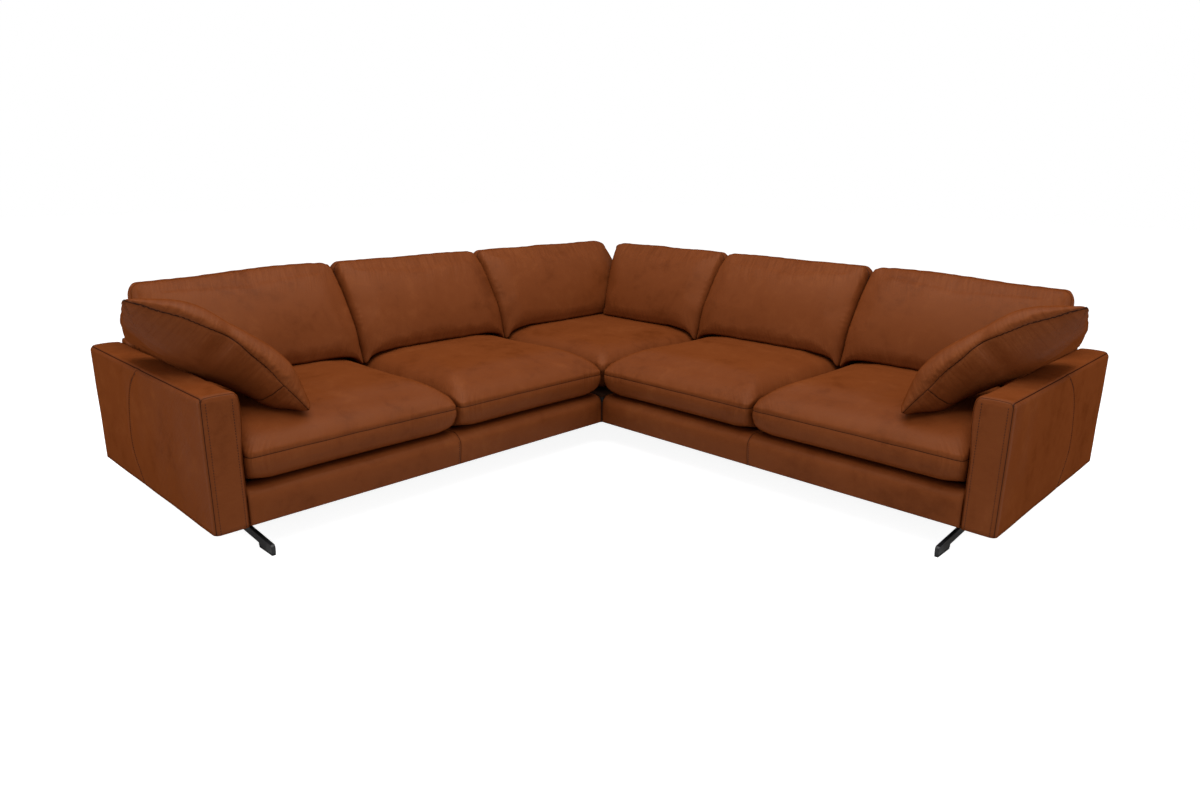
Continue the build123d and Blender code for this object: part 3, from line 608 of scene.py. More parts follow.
def mark_seams(obj, seams):
    """Store, for every vertex, its gaps to the seams, its place along them and how far it is gathered, which
    sets both the puckers' bump and their painted highlight and shade.
    """
    mesh = obj.data
    rows = [seams(v.co, v.normal) for v in mesh.vertices]
    for name, values in zip(("seam_1", "seam_2", "seam_3", "along", "pull"), zip(*rows)):
        mesh.attributes.new(name, "FLOAT", "POINT").data.foreach_set("value", values)


def mirrored(source, name):
    """The left wing's twin of a right wing piece."""
    bm = bmesh.new()
    bm.from_mesh(source.data)
    bmesh.ops.transform(bm, matrix=DIAGONAL_MIRROR, verts=bm.verts)
    bmesh.ops.reverse_faces(bm, faces=bm.faces)
    return as_object(name, bm)


def refine(obj):
    """Round the mesh once more."""
    finer = obj.modifiers.new("finer", "SUBSURF")
    finer.levels = 1
    finer.render_levels = 1


def dress_piece(obj, body, material, slot, *nodes):
    """Give a piece its material and its body, and hide the CAD nodes it stands for."""
    obj.data.materials.clear()
    obj.data.materials.append(material)
    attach(obj, body)
    if nodes:
        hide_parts(*nodes)


def dress_wings(right, ending, material, cover=None, thick=None):
    """Dress a right wing piece and its left twin; a padded cover names the CAD node that it stands for."""
    twin = mirrored(right, "left_" + ending)
    for side, piece in (("right", right), ("left", twin)):
        if thick:
            skin(piece, thick)
        if cover:
            dress_piece(piece, side + "_unit", material, "leather", f"{side}_{cover}")
        else:
            dress_piece(piece, side + "_unit", material, "leather")


def dip(gap, width):
    """A smooth hump, 1 at no gap and fading over a width."""
    return math.exp(-((gap / width) ** 2))


def ripple(along, spread, seed, scale):
    """A gathering wave along a seam, different at every seed."""
    return noise.noise(Vector((along * scale, spread * scale * 0.18, seed)))


# Seat cushions. A pair of places is where something starts and where it is complete.

SEAT_SEAM_WAVE = 0.0015
SEAT_GROOVE = 0.0040
SEAT_PUCKER = 0.0042
SEAT_PUCKER_FADE = 0.034
SEAT_HELD = 0.006
SEAT_GATHERED_ENDS = (0.02, 0.20)
SEAT_FREE_ENDS = (0.02, 0.10)
SEAT_FREE_FOOT = (0.015, 0.06)
SEAT_UNDER_BACK = (0.52, 0.64)
SEAT_UNDER_SCATTER = (1.16, 1.27)
SEAT_FRONT_ROOM = 0.006
SEAT_TOP_ROOM = 0.010
SEAT_LOW_ROOM = 0.004
SEAT_CLEAR = -0.0008
SEAT_TOP_SLACK = 0.006
SEAT_SIDE_SLACK = 0.002
SEAT_CORNER_LIFT = 0.014
SEAT_FRONT_LIFT = 0.006


def from_ends(node):
    """A function for how far a place along the wing lies inside a seat cushion's ends."""
    low, high = (on_right_wing(Vector(c))[0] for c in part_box(node))
    return lambda along: min(along - low, high - along)


def seat_seams(node):
    """Seam gap, place and gather of a seat cushion: one seam round its middle, gathered at its corners."""
    inside = from_ends(node)

    def seams(co, normal):
        along, behind, up = on_right_wing(co)
        gap = up - SEAT_SEAM + SEAT_SEAM_WAVE * ripple(along + behind, 0.0, seed=3.1, scale=9.0)
        corner = 1 - smooth(*SEAT_GATHERED_ENDS, inside(along))
        pull = (0.55 + 0.75 * corner) * math.exp(-abs(gap) / (0.030 + 0.020 * corner))
        return gap, NO_SEAM, NO_SEAM, along + behind, pull
    return seams


def seat_gathers(co, normal):
    """Seam groove and soft puckers above and below it."""
    along, behind, up = on_right_wing(co)
    gap = up - SEAT_SEAM
    upright = 1 - smooth(0.55, 0.95, abs(normal.z))
    groove = -SEAT_GROOVE * dip(gap, 0.010)
    fade = math.exp(-abs(gap) / SEAT_PUCKER_FADE) * (1 - dip(gap, 0.008))
    pucker = SEAT_PUCKER * fade * ripple(along + behind, gap, seed=1.7, scale=24.0)
    return (groove + pucker) * upright


def seat_held(co, normal):
    """A seat cushion is held at its underside and its seam."""
    if normal.z < -0.8:
        return 1.0
    return 0.9 if abs(co.z - SEAT_SEAM) < SEAT_HELD else 0.0


def seat_room(node):
    """A seat cushion may swell where it is free: on its front, and on top ahead of what rests on it."""
    inside = from_ends(node)

    def room(co, normal):
        along, behind, up = on_right_wing(co)
        if normal.z < -0.95 or "corner" in node:
            return SEAT_CLEAR
        free = smooth(*SEAT_FREE_ENDS, inside(along))
        if normal.z < -0.2:
            ahead = smooth(0.2, 0.6, -normal.y) * free
            return SEAT_CLEAR + SEAT_LOW_ROOM * ahead * smooth(*SEAT_FREE_FOOT, up - DECK_TOP)
        free = free * (1 - smooth(*SEAT_UNDER_BACK, behind)) * (1 - smooth(*SEAT_UNDER_SCATTER, along))
        upper = max(0.0, normal.z)
        ahead = max(0.0, -normal.y)
        return SEAT_CLEAR + free * (SEAT_TOP_ROOM * upper + SEAT_FRONT_ROOM * ahead)
    return room


def seat_slack(co, normal):
    """How far a seat cushion may fall short of its solid."""
    return SEAT_TOP_SLACK if normal.z > 0.5 else SEAT_SIDE_SLACK


def seat_broad(co, normal):
    """A seat cushion is calm on top."""
    return 1.0 if normal.z > 0.45 and co.z > SEAT_SEAM + 0.02 else 0.0


def seat_droop(node):
    """The lower front corners of a seat cushion draw up towards its seam."""
    inside = from_ends(node)

    def droop(co):
        along, behind, up = on_right_wing(co)
        corner = 1 - smooth(0.0, 0.10, inside(along))
        ahead = 1 - smooth(0.03, 0.12, behind)
        lift = SEAT_FRONT_LIFT + SEAT_CORNER_LIFT * corner
        return -lift * ahead * (1 - smooth(DECK_TOP + 0.03, SEAT_SEAM, up))
    return droop


def seat_cushion(node):
    return Cushion(
        node, VOXEL, seat_held, seat_broad, seat_room(node), seat_slack, seat_seams(node), seat_gathers,
        seat_droop(node),
    )


# Back cushions. Heights are above the seat's top.

BACK_SEAM_LEAN = 0.075
BACK_SEAM_BEHIND = 0.905
SEAT_TOP = DECK_TOP + 0.215
BACK_GROOVE = 0.004
BACK_WRINKLE = 0.0022
BACK_FOLD = 0.0035
BACK_SOFT = 0.005
BACK_BELLY = 0.004
BACK_BELLY_UP = 0.11
BACK_UNDER = 0.004
BACK_CLEAR = -0.0008
BACK_FRONT_ROOM = 0.012
BACK_TOP_ROOM = 0.004
BACK_FREE_ENDS = (0.0, 0.12)
BACK_TOP_SLACK = 0.0015
BACK_SIDE_SLACK = 0.003
BACK_CALM_FOOT = 0.03
BACK_CALM_ENDS = 0.018
# How far the seats' tops fall towards their ends: distance from the end, fall
SEAT_FALL = ((0.0, 0.056), (0.010, 0.054), (0.024, 0.033), (0.052, 0.017), (0.095, 0.007), (0.190, 0.0))
DROOP_RISE = 0.13
DROOP_CLEAR = 0.002
END_SAG = 0.018


def unturned(vector, turned):
    """A point or normal as on the right wing; the left corner cushion runs along the left wing."""
    return DIAGONAL_MIRROR @ vector if turned else vector


def back_place(co, turned):
    """(along, behind, height above the seat) of a back cushion's point."""
    along, behind, up = on_right_wing(unturned(co, turned))
    return along, behind, up - SEAT_TOP


def back_ends(node, turned):
    """Places along the wing of a back cushion's two ends."""
    return [back_place(Vector(c), turned)[0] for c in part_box(node)]


def nearest(along, ends):
    """Distance along the wing to the nearest of some ends."""
    return min(abs(along - end) for end in ends)


def back_seam_gap(behind, height):
    """Gap to the seam that runs round a back cushion, near its rear."""
    return behind - BACK_SEAM_BEHIND - BACK_SEAM_LEAN * height


def back_seams(turned):
    """Seam gap, place and gather of a back cushion, gathered at its head and foot."""
    def seams(co, normal):
        along, behind, height = back_place(co, turned)
        gap = back_seam_gap(behind, height)
        if normal.z < -0.7:
            gap = math.copysign(NO_SEAM, gap)
        head = 0.9 * smooth(0.25, 0.37, height)
        foot = 0.7 * (1 - smooth(0.02, 0.12, height))
        pull = max(math.exp(-abs(gap) / 0.05), head, foot)
        return gap, NO_SEAM, NO_SEAM, along + 0.4 * co.z, pull
    return seams


def back_gathers(turned):
    """Groove, wrinkles at the head, folds at the foot, soft waves and a belly in front."""
    def gathers(co, normal):
        along, behind, height = back_place(co, turned)
        groove = -BACK_GROOVE * dip(back_seam_gap(behind, height), 0.010)
        head = smooth(0.22, 0.37, height)
        foot = 1 - smooth(0.02, 0.13, height)
        wrinkle = BACK_WRINKLE * head * ripple(along + 0.5 * co.z, behind, seed=5.3, scale=30.0)
        fold = BACK_FOLD * foot * ripple(along - 0.3 * co.z, behind, seed=8.9, scale=20.0)
        soft = BACK_SOFT * noise.noise(Vector((along * 4.5, co.z * 5.0, 2.2)))
        ahead = max(0.0, -unturned(normal, turned).y)
        belly = BACK_BELLY * dip(height - BACK_BELLY_UP, 0.06)
        under = -BACK_UNDER * (1 - smooth(0.0, 0.045, height))
        return groove + wrinkle + fold + soft + ahead * (belly + under)
    return gathers


def back_droop(node, turned):
    """The lower corners of a back cushion sink into the hollows between the seats, and an end one sags."""
    ends = back_ends(node, turned)
    resting = [max(ends)] if "corner" in node else ends
    sag = END_SAG if "_end_" in node else 0.0

    def droop(co):
        along, behind, height = back_place(co, turned)
        low = 1 - smooth(0.0, DROOP_RISE, height)
        outer = smooth(0.30, 0.95, (along - ends[0]) / (ends[1] - ends[0]))
        fall = max(0.0, curve_at(SEAT_FALL, nearest(along, resting)) - DROOP_CLEAR)
        return low * fall + sag * (smooth(0.10, 0.36, height) * outer)
    return droop


def back_held(co, normal):
    """A back cushion is held at its underside."""
    return 1.0 if normal.z < -0.8 else 0.0


def back_room(node, turned):
    """A back cushion may swell ahead and on top, less and less towards its ends."""
    ends = back_ends(node, turned)

    def room(co, normal):
        facing = unturned(normal, turned)
        along, behind, height = back_place(co, turned)
        free = smooth(*BACK_FREE_ENDS, nearest(along, ends)) * smooth(0.0, 0.03, height)
        ahead = smooth(0.0, 0.5, -facing.y) * (1 - smooth(0.5, 0.8, abs(facing.x)))
        upper = smooth(0.3, 0.8, facing.z)
        return BACK_CLEAR + free * max(BACK_FRONT_ROOM * ahead, BACK_TOP_ROOM * upper)
    return room


def back_slack(co, normal):
    """How far a back cushion may fall short of its solid."""
    return BACK_TOP_SLACK if abs(normal.z) > 0.5 else BACK_SIDE_SLACK


def back_broad(node, turned):
    """A back cushion is calm in front, away from its ends and foot, and less so over its top edge."""
    ends = back_ends(node, turned)

    def broad(co, normal):
        along, behind, height = back_place(co, turned)
        if height < BACK_CALM_FOOT or nearest(along, ends) < BACK_CALM_ENDS:
            return 0.0
        return 1.0 if unturned(normal, turned).y < -0.55 else 0.3
    return broad


def back_cushion(node):
    turned = node.startswith("left_")
    return Cushion(
        node, VOXEL, back_held, back_broad(node, turned), back_room(node, turned), back_slack,
        back_seams(turned), back_gathers(turned), back_droop(node, turned),
    )


# Scatter cushions

SCATTER_WAVE = 0.004
ZIP_SLANT = 0.10
SCATTER_GATHER_FADE = 0.06
SCATTER_PUCKER = 0.0030
SCATTER_PUCKER_FADE = 0.075
SCATTER_SOFT = 0.006
SCATTER_GROOVE = 0.003
SCATTER_PINCH_DEPTH = 0.014
SCATTER_HELD = 0.006
SCATTER_TOP_ROOM = 0.032
SCATTER_CLEAR = 0.0004
SCATTER_SLACK = 0.004
SCATTER_END_SLACK = 0.012
# Fuller places on a face: how much, middle and reach along the length, middle and reach across the depth
FULL_BELOW = ((0.030, 0.15, 0.12, 0.18, 0.22),)
FULL_ABOVE = ((0.026, 0.22, 0.20, 0.10, 0.18), (0.020, 0.74, 0.18, 0.14, 0.18))


def scatter_place(co):
    """(share of the depth, along the long edge, above the middle) of a right scatter cushion's point."""
    tip = wing_place(*SCATTER_TIP)
    ahead = Vector((math.sin(SCATTER_TURN), -math.cos(SCATTER_TURN), 0))
    run = Vector((
        -math.sin(SCATTER_BACK_TURN) * math.cos(SCATTER_RISE),
        math.cos(SCATTER_BACK_TURN) * math.cos(SCATTER_RISE),
        math.sin(SCATTER_RISE),
    ))
    share = (co - tip).dot(ahead) / (SCATTER_DEPTH * run.dot(ahead))
    tilt = SCATTER_TILT + (SCATTER_REAR_TILT - SCATTER_TILT) * share
    chord = Vector((
        math.cos(SCATTER_TURN) * math.cos(tilt),
        math.sin(SCATTER_TURN) * math.cos(tilt),
        math.sin(tilt),
    ))
    local = co - tip - run * (share * SCATTER_DEPTH)
    return share, local.dot(chord), local.dot(ahead.cross(chord))


def scatter_length(share):
    """The cushion's length from its lower to its upper edge."""
    return SCATTER_LENGTH - SCATTER_REAR_SHORTER * share


def scatter_rims(share, along):
    """Distances to the nearer side edge and to the nearer end."""
    return min(share, 1 - share) * SCATTER_DEPTH, min(along, scatter_length(share) - along)


def scatter_gap(share, along, above):
    """Height above the seam that runs round a scatter cushion's edge."""
    place = along / scatter_length(share)
    slope = place / SCATTER_PINCH if place < SCATTER_PINCH else (1 - place) / (1 - SCATTER_PINCH)
    arch = SCATTER_EDGE_ARCH * (1 - 0.4 * share) * (1 - abs(1 - max(0.0, slope)) ** 1.2)
    return above - arch + SCATTER_WAVE * ripple(along, share, seed=4.4, scale=11.0)


def scatter_seams(co, normal):
    """Seam gaps, place and gather of a scatter cushion: the edge seam, and the zip on its lower face."""
    share, along, above = scatter_place(co)
    gap = scatter_gap(share, along, above)
    zip_gap = along - ZIP_SHARE * SCATTER_LENGTH - ZIP_SLANT * share
    if gap > 0 or share > 0.5:
        zip_gap = math.copysign(NO_SEAM, zip_gap)
    edge, ends = scatter_rims(share, along)
    pull = math.exp(-max(0.0, min(edge, ends)) / SCATTER_GATHER_FADE)
    return gap, zip_gap, NO_SEAM, along if edge < ends else share * SCATTER_DEPTH, pull


def fullness(rows, share, place):
    """How much fuller a face is at a place."""
    return sum(
        most * dip(place - middle, length) * dip(share - across, depth)
        for most, middle, length, across, depth in rows
    )


def scatter_gathers(co, normal):
    """Groove, puckers at the edges, soft waves, the pinch in the front edge and the fuller places."""
    share, along, above = scatter_place(co)
    gap = scatter_gap(share, along, above)
    edge, ends = (max(0.0, rim) for rim in scatter_rims(share, along))
    fade = math.exp(-min(edge, ends) / SCATTER_PUCKER_FADE)
    run = along if edge < ends else share * SCATTER_DEPTH
    pucker = SCATTER_PUCKER * fade * ripple(run, edge + ends, seed=6.1, scale=19.0)
    soft = SCATTER_SOFT * noise.noise(Vector((along * 7.0, share * 3.2, 1.1)))
    groove = -SCATTER_GROOVE * dip(gap, 0.008)
    place = along / scatter_length(share)
    pinch = -SCATTER_PINCH_DEPTH * dip(place - SCATTER_PINCH, 0.045) * dip(max(0.0, share), 0.09)
    return pucker + soft + groove + pinch + fullness(FULL_ABOVE if gap > 0 else FULL_BELOW, share, place)


def scatter_held(co, normal):
    """A scatter cushion is held along its edge seam."""
    return 1.0 if abs(scatter_gap(*scatter_place(co))) < SCATTER_HELD else 0.0


def scatter_room(co, normal):
    """A scatter cushion may swell on top, and below only behind its tip."""
    if normal.z > 0.15:
        return SCATTER_TOP_ROOM
    share, along, above = scatter_place(co)
    return fullness(FULL_BELOW, share, along / scatter_length(share)) - SCATTER_CLEAR


def scatter_broad(co, normal):
    """A scatter cushion is calm on both faces."""
    return 1.0 if abs(scatter_gap(*scatter_place(co))) > 0.02 else 0.2


def scatter_slack(co, normal):
    """How far a scatter cushion may fall short of its solid, most at its ends."""
    share, along, above = scatter_place(co)
    return SCATTER_SLACK + SCATTER_END_SLACK * (1 - smooth(0.0, 0.09, scatter_rims(share, along)[1]))


cushions = [
    seat_cushion("right_mid_seat_cushion"),
    seat_cushion("right_end_seat_cushion"),
    seat_cushion("corner_seat_cushion"),
    back_cushion("right_mid_back_cushion"),
    back_cushion("right_end_back_cushion"),
    back_cushion("right_corner_back_cushion"),
    back_cushion("left_corner_back_cushion"),
    Cushion(
        "right_scatter_cushion", SCATTER_VOXEL, scatter_held, scatter_broad, scatter_room, scatter_slack,
        scatter_seams, scatter_gathers, droop=lambda co: 0.0,
    ),
]
for cushion in cushions:
    cushion.swell()
for moment in range(1, SIM_FRAMES + 1):
    bpy.context.scene.frame_set(moment)
for cushion in cushions:
    cushion.settle()
    cushion.dress()
bpy.context.scene.frame_set(1)

DOWN = Vector((0, 0, -1))
TIP_DROP = 0.030
TIP_CLEAR = 0.002
TIP_SEARCH = 0.2
TIP_LEAST = 0.02
TIP_ALONG = (0.03, 0.42)
TIP_ACROSS = (0.0, 0.30)


def rest_tip(scatter, seat):
    """Let the tip of a scatter cushion sink until it only just clears the seat."""
    surface = surface_of(seat)
    drop = TIP_DROP
    weights = []
    for v in scatter.vertices:
        share, along, above = scatter_place(v.co)
        weight = (1 - smooth(*TIP_ALONG, along / scatter_length(share))) * (1 - smooth(*TIP_ACROSS, share))
        weights.append(weight)
        distance = surface.ray_cast(v.co, DOWN)[3] if weight > TIP_LEAST else None
        if distance is not None:
            drop = min(drop, max(0.0, distance - TIP_CLEAR) / weight)
    for v, weight in zip(scatter.vertices, weights):
        v.co.z -= drop * weight
        below = surface.ray_cast(v.co - DOWN * TIP_SEARCH, DOWN)[0]
        if below:
            v.co.z = max(v.co.z, below.z + TIP_CLEAR)


made = {cushion.node: cushion.obj.data for cushion in cushions}
rest_tip(made["right_scatter_cushion"], made["right_end_seat_cushion"])

FILLS = {"seat": 0.8, "back": 0.65, "scatter": 0.5}


def show_cushion(obj, node):
    """Finish a cushion: finer mesh, leather, its own body."""
    obj.name = node + "_leather"
    refine(obj)
    dress_piece(obj, node, LEATHER, "leather", node)
    fill = next(value for key, value in FILLS.items() if key in node)


for cushion in cushions:
    if cushion.node.startswith("right_") and "corner" not in cushion.node:
        left = cushion.node.replace("right_", "left_")
        show_cushion(mirrored(cushion.obj, left), left)
    show_cushion(cushion.obj, cushion.node)


# Covers over the timber

SAME = 1e-6
PANEL_CLEAR = 0.0004


def slice_evenly(bm, axis, start, end, step):
    """Cut a mesh into strips square to an axis."""
    count = max(1, round((end - start) / step))
    for i in range(1, count):
        place, facing = Vector(), Vector()
        place[axis] = start + (end - start) * i / count
        facing[axis] = 1
        bmesh.ops.bisect_plane(bm, geom=all_of(bm), plane_co=place, plane_no=facing, dist=SAME)


def block(low, high, rounding, segments):
    """A box between two corners, rounded at every edge but those of its bottom."""
    bm = bmesh.new()
    bmesh.ops.create_cube(bm, size=1.0)
    bmesh.ops.scale(bm, vec=high - low, verts=bm.verts)
    bmesh.ops.translate(bm, vec=(low + high) / 2, verts=bm.verts)
    upper = [e for e in bm.edges if not all(abs(v.co.z - low.z) < SAME for v in e.verts)]
    round_edges(bm, upper, rounding, segments)
    return bm


def open_below(bm, level):
    """Take away the faces at the bottom level."""
    gone = [f for f in bm.faces if all(abs(v.co.z - level) < SAME for v in f.verts)]
    bmesh.ops.delete(bm, geom=gone, context="FACES")


def skin(obj, thick):
    """Give a cover its thickness, inwards."""
    wall = obj.modifiers.new("skin", "SOLIDIFY")
    wall.thickness = thick
    wall.offset = -1


def edge_gap(facing, radius):
    """Signed gap to the middle of a rounded edge, from how far the surface has turned."""
    return radius * (math.asin(max(-1.0, min(1.0, facing))) - math.pi / 4)


def arm_seams(co, normal):
    """Seams round the arm's outer side, round its front, and the curved one on its side."""
    along, behind, up = on_right_wing(co)
    side = edge_gap(normal.x, ARM_ROUND)
    front = edge_gap(-normal.y, ARM_ROUND)
    curve = behind - curve_at(ARM_CURVE, up)
    if normal.x < 0.7:
        curve = math.copysign(NO_SEAM, curve)
    if behind > DEPTH / 2:
        front = -NO_SEAM
    pull = 0.5 * math.exp(-min(abs(side), abs(front)) / 0.02)
    return side, front, curve, behind + up, pull


ARM_SEGMENTS = 6
ARM_FULL = 0.004
ARM_INNER_SIDE_FULL = 0.0005
ARM_INNER_FULL = 0.011
ARM_WAVE = 0.0016
ARM_GROOVE = 0.0014


def arm_cover():
    """The arm's padded cover: faces a little full, soft waves on its sides, fuller inside at its front."""
    low = wing_place(ARM_FACE, 0, UNDERSIDE)
    high = wing_place(ARM_END, DEPTH, ARM_TOP)
    bm = block(low, high, ARM_ROUND, ARM_SEGMENTS)
    for axis in (1, 2, 0):
        slice_evenly(bm, axis, low[axis], high[axis], ARM_SLICE)
    open_below(bm, low.z)
    bmesh.ops.recalc_face_normals(bm, faces=bm.faces)
    bm.normal_update()
    middle = (low.x + high.x) / 2
    for v in bm.verts:
        along, behind, up = on_right_wing(v.co)
        across = min(1.0, abs(v.co.x - middle) / (ARM_END - ARM_FACE) * 2)
        height = (up - UNDERSIDE) / (ARM_TOP - UNDERSIDE)
        full = ARM_FULL * (1 - across ** 2) if v.normal.z > 0.6 else 0.0
        if abs(v.normal.x) > 0.6:
            deep = math.sin(math.pi * min(1.0, max(0.0, behind / DEPTH)))
            most = ARM_FULL if v.normal.x > 0 else ARM_INNER_SIDE_FULL
            full = most * deep * math.sin(math.pi * min(1.0, height))
        soft = ARM_WAVE * noise.noise(Vector((along * 5, behind * 7, up * 6)))
        if v.normal.x < -0.6:
            soft = min(0.0, soft)
        gap = behind - curve_at(ARM_CURVE, up)
        groove = -ARM_GROOVE * dip(gap, 0.008) if v.normal.x > 0.7 else 0.0
        v.co += v.normal * (full + soft + groove)
        inner = 1 - smooth(0.0, 0.07, along - ARM_FACE)
        rising = smooth(0.34, 0.48, up) * (1 - 0.5 * smooth(ARM_TOP - 0.05, ARM_TOP, up))
        v.co.x -= ARM_INNER_FULL * inner * rising * (1 - smooth(0.02, 0.08, behind))
    return as_object("right_arm_cover_leather", bm)


AHEAD = Vector((0, -1, 0))
OUT = Vector((1, 0, 0))
STITCH = 0.0052
STITCH_PITCH = 0.0095
STITCH_THICK = 0.0019
STITCH_ROUND = STITCH_THICK * 0.3
STITCH_INSET = 0.0185
CURVE_STITCH_INSET = 0.009
ARM_STITCH_FOOT = 0.006
STITCH_LIFT = 0.0002
STITCH_SEARCH = 0.1
STITCH_STEPS = 40


def stitch_rows(name, rows):
    """Rows of short raised stitches: each row is a list of places and the way the surface faces there."""
    bm = bmesh.new()
    for points, facing in rows:
        travelled = 0.0
        for a, b in zip(points, points[1:]):
            run = b - a
            length = run.length
            way = run.normalized()
            while travelled < length:
                place = a + way * travelled
                made = bmesh.ops.create_cube(bm, size=1.0)["verts"]
                bmesh.ops.scale(bm, vec=(STITCH, STITCH_THICK, STITCH_THICK), verts=made)
                for v in made:
                    v.co = place + way * v.co.x + facing.cross(way) * v.co.y + facing * v.co.z
                travelled += STITCH_PITCH
            travelled -= length
    round_edges(bm, bm.edges[:], STITCH_ROUND, 1)
    return as_object(name, bm)


def laid_on(surface, places, facing):
    """Places moved along the way a surface faces until they lie on it."""
    hits = [surface.ray_cast(place + facing * STITCH_SEARCH, -facing)[0] for place in places]
    return [hit + facing * STITCH_LIFT for hit in hits if hit]


def arm_stitches(cover):
    """Stitches beside the front's two upright seams and beside the curved side seam."""
    surface = surface_of(cover.data)
    low = UNDERSIDE + ARM_STITCH_FOOT
    high = ARM_TOP - ARM_ROUND
    levels = [low + (high - low) * i / STITCH_STEPS for i in range(STITCH_STEPS + 1)]
    rows = []
    for along in (ARM_FACE + STITCH_INSET, ARM_END - STITCH_INSET):
        rows.append((laid_on(surface, [wing_place(along, 0, up) for up in levels], AHEAD), AHEAD))
    beside = [wing_place(ARM_END, curve_at(ARM_CURVE, up) - CURVE_STITCH_INSET, up) for up in levels]
    rows.append((laid_on(surface, beside, OUT), OUT))
    return stitch_rows("right_arm_stitches", rows)


arm = arm_cover()
mark_seams(arm, arm_seams)
dress_wings(arm, "arm_cover_leather", LEATHER, "arm_cover", ARM_SKIN)
dress_wings(arm_stitches(arm), "arm_stitches", THREAD)


# Front rails

RAIL_ROUND = 0.042
RAIL_FOOT_ROUND = 0.006
RAIL_FULL = 0.009
RAIL_WAVE = 0.0016
RAIL_SHY = 0.0012
RAIL_GROOVE = 0.0018
RAIL_FLAP = rail_high.y - APEX.y
RAIL_WALL = 0.0215
RAIL_TOP_WALL = 0.0088
RAIL_SLICE = 0.012
RAIL_STITCH_INSET = 0.008
RAIL_STITCH_FOOT = 0.010


def profile_bar(points, start, end):
    """A closed (behind, up) outline drawn out along the wing."""
    bm = bmesh.new()
    verts = [bm.verts.new(wing_place(start, behind, up)) for behind, up in points]
    face = bm.faces.new(verts)
    drawn = bmesh.ops.extrude_face_region(bm, geom=[face])["geom"]
    moved = [g for g in drawn if isinstance(g, bmesh.types.BMVert)]
    bmesh.ops.translate(bm, vec=Vector((end - start, 0, 0)), verts=moved)
    bmesh.ops.recalc_face_normals(bm, faces=bm.faces)
    return bm


def long_edges(bm, behind, up):
    """Edges along the wing at one (behind, up) place."""
    place = wing_place(0, behind, up)
    return [
        e for e in bm.edges
        if all(abs(v.co.y - place.y) < 1e-5 and abs(v.co.z - place.z) < 1e-5 for v in e.verts)
    ]


def rail_seams(co, normal):
    """One upright seam, a little gathered."""
    along, behind, up = on_right_wing(co)
    gap = along - RAIL_SEAM_ALONG
    return gap, NO_SEAM, NO_SEAM, up + behind, 0.35 * math.exp(-abs(gap) / 0.03)


def front_rail():
    """The padded front rail with a soft top edge and one upright seam."""
    under_flap = DECK_TOP - RAIL_TOP_WALL
    bm = profile_bar(
        [(0, UNDERSIDE), (0, DECK_TOP), (RAIL_FLAP, DECK_TOP), (RAIL_FLAP, under_flap),
         (RAIL_WALL, under_flap), (RAIL_WALL, UNDERSIDE)],
        SECTION_GAP, ARM_FACE - PANEL_CLEAR,
    )
    round_edges(bm, long_edges(bm, 0, DECK_TOP), RAIL_ROUND, 8)
    round_edges(bm, long_edges(bm, 0, UNDERSIDE), RAIL_FOOT_ROUND, 3)
    slice_evenly(bm, 0, rail_low.x, rail_high.x, RAIL_SLICE)
    slice_evenly(bm, 2, UNDERSIDE, DECK_TOP, RAIL_SLICE)
    bm.normal_update()
    for v in bm.verts:
        along, behind, up = on_right_wing(v.co)
        if v.normal.y > -0.2 and v.normal.z < 0.5:
            continue
        soft = RAIL_WAVE * noise.noise(Vector((along * 6, behind * 9, up * 9))) - RAIL_SHY
        groove = -RAIL_GROOVE * dip(along - RAIL_SEAM_ALONG, 0.009)
        height = min(1.0, max(0.0, (up - UNDERSIDE) / (DECK_TOP - UNDERSIDE)))
        ends = smooth(0.0, 0.06, min(along, ARM_FACE - along))
        v.co += v.normal * (soft + groove)
        v.co.y -= RAIL_FULL * ends * math.sin(math.pi * height ** 1.3) * smooth(0.1, 0.7, -v.normal.y)
    return as_object("right_front_rail_leather", bm)


def rail_stitches(cover):
    """One row of stitches beside the rail's seam."""
    foot = UNDERSIDE + RAIL_STITCH_FOOT
    run = DECK_TOP - RAIL_ROUND - UNDERSIDE
    row = [
        wing_place(RAIL_SEAM_ALONG + RAIL_STITCH_INSET, 0, foot + run * i / STITCH_STEPS)
        for i in range(STITCH_STEPS)
    ]
    return stitch_rows("right_rail_stitches", [(laid_on(surface_of(cover.data), row, AHEAD), AHEAD)])


rail = front_rail()
mark_seams(rail, rail_seams)
dress_wings(rail, "front_rail_leather", LEATHER, "front_rail_cover")
dress_wings(rail_stitches(rail), "rail_stitches", THREAD)


# Back panels

BACK_FRONT_WALL = 0.030
BACK_REAR_WALL = 0.012
BACK_TOP_WALL = 0.025
BACK_ROUND = 0.030
BACK_HEAD_FACE = DEPTH - 0.100
BACK_INNER_FOOT = BACK_FOOT_FACE + BACK_FRONT_WALL
BACK_INNER_REAR = DEPTH - BACK_REAR_WALL
BACK_INNER_TOP = BACK_TOP - BACK_TOP_WALL
BACK_SLICE = 0.024
BACK_WAVE = 0.002
BACK_SHY = 0.001
BACK_MARGIN = 0.001


def back_bar(inside, start, end):
    """A bar that leans in front, is upright behind and round on top; inside is the rest of its outline."""
    outside = [(BACK_FOOT_FACE, DECK_TOP), (BACK_HEAD_FACE, BACK_TOP), (DEPTH, BACK_TOP), (DEPTH, UNDERSIDE)]
    bm = profile_bar(outside + inside, start, end)
    tops = long_edges(bm, BACK_HEAD_FACE, BACK_TOP) + long_edges(bm, DEPTH, BACK_TOP)
    round_edges(bm, tops, BACK_ROUND, 6)
    return bm


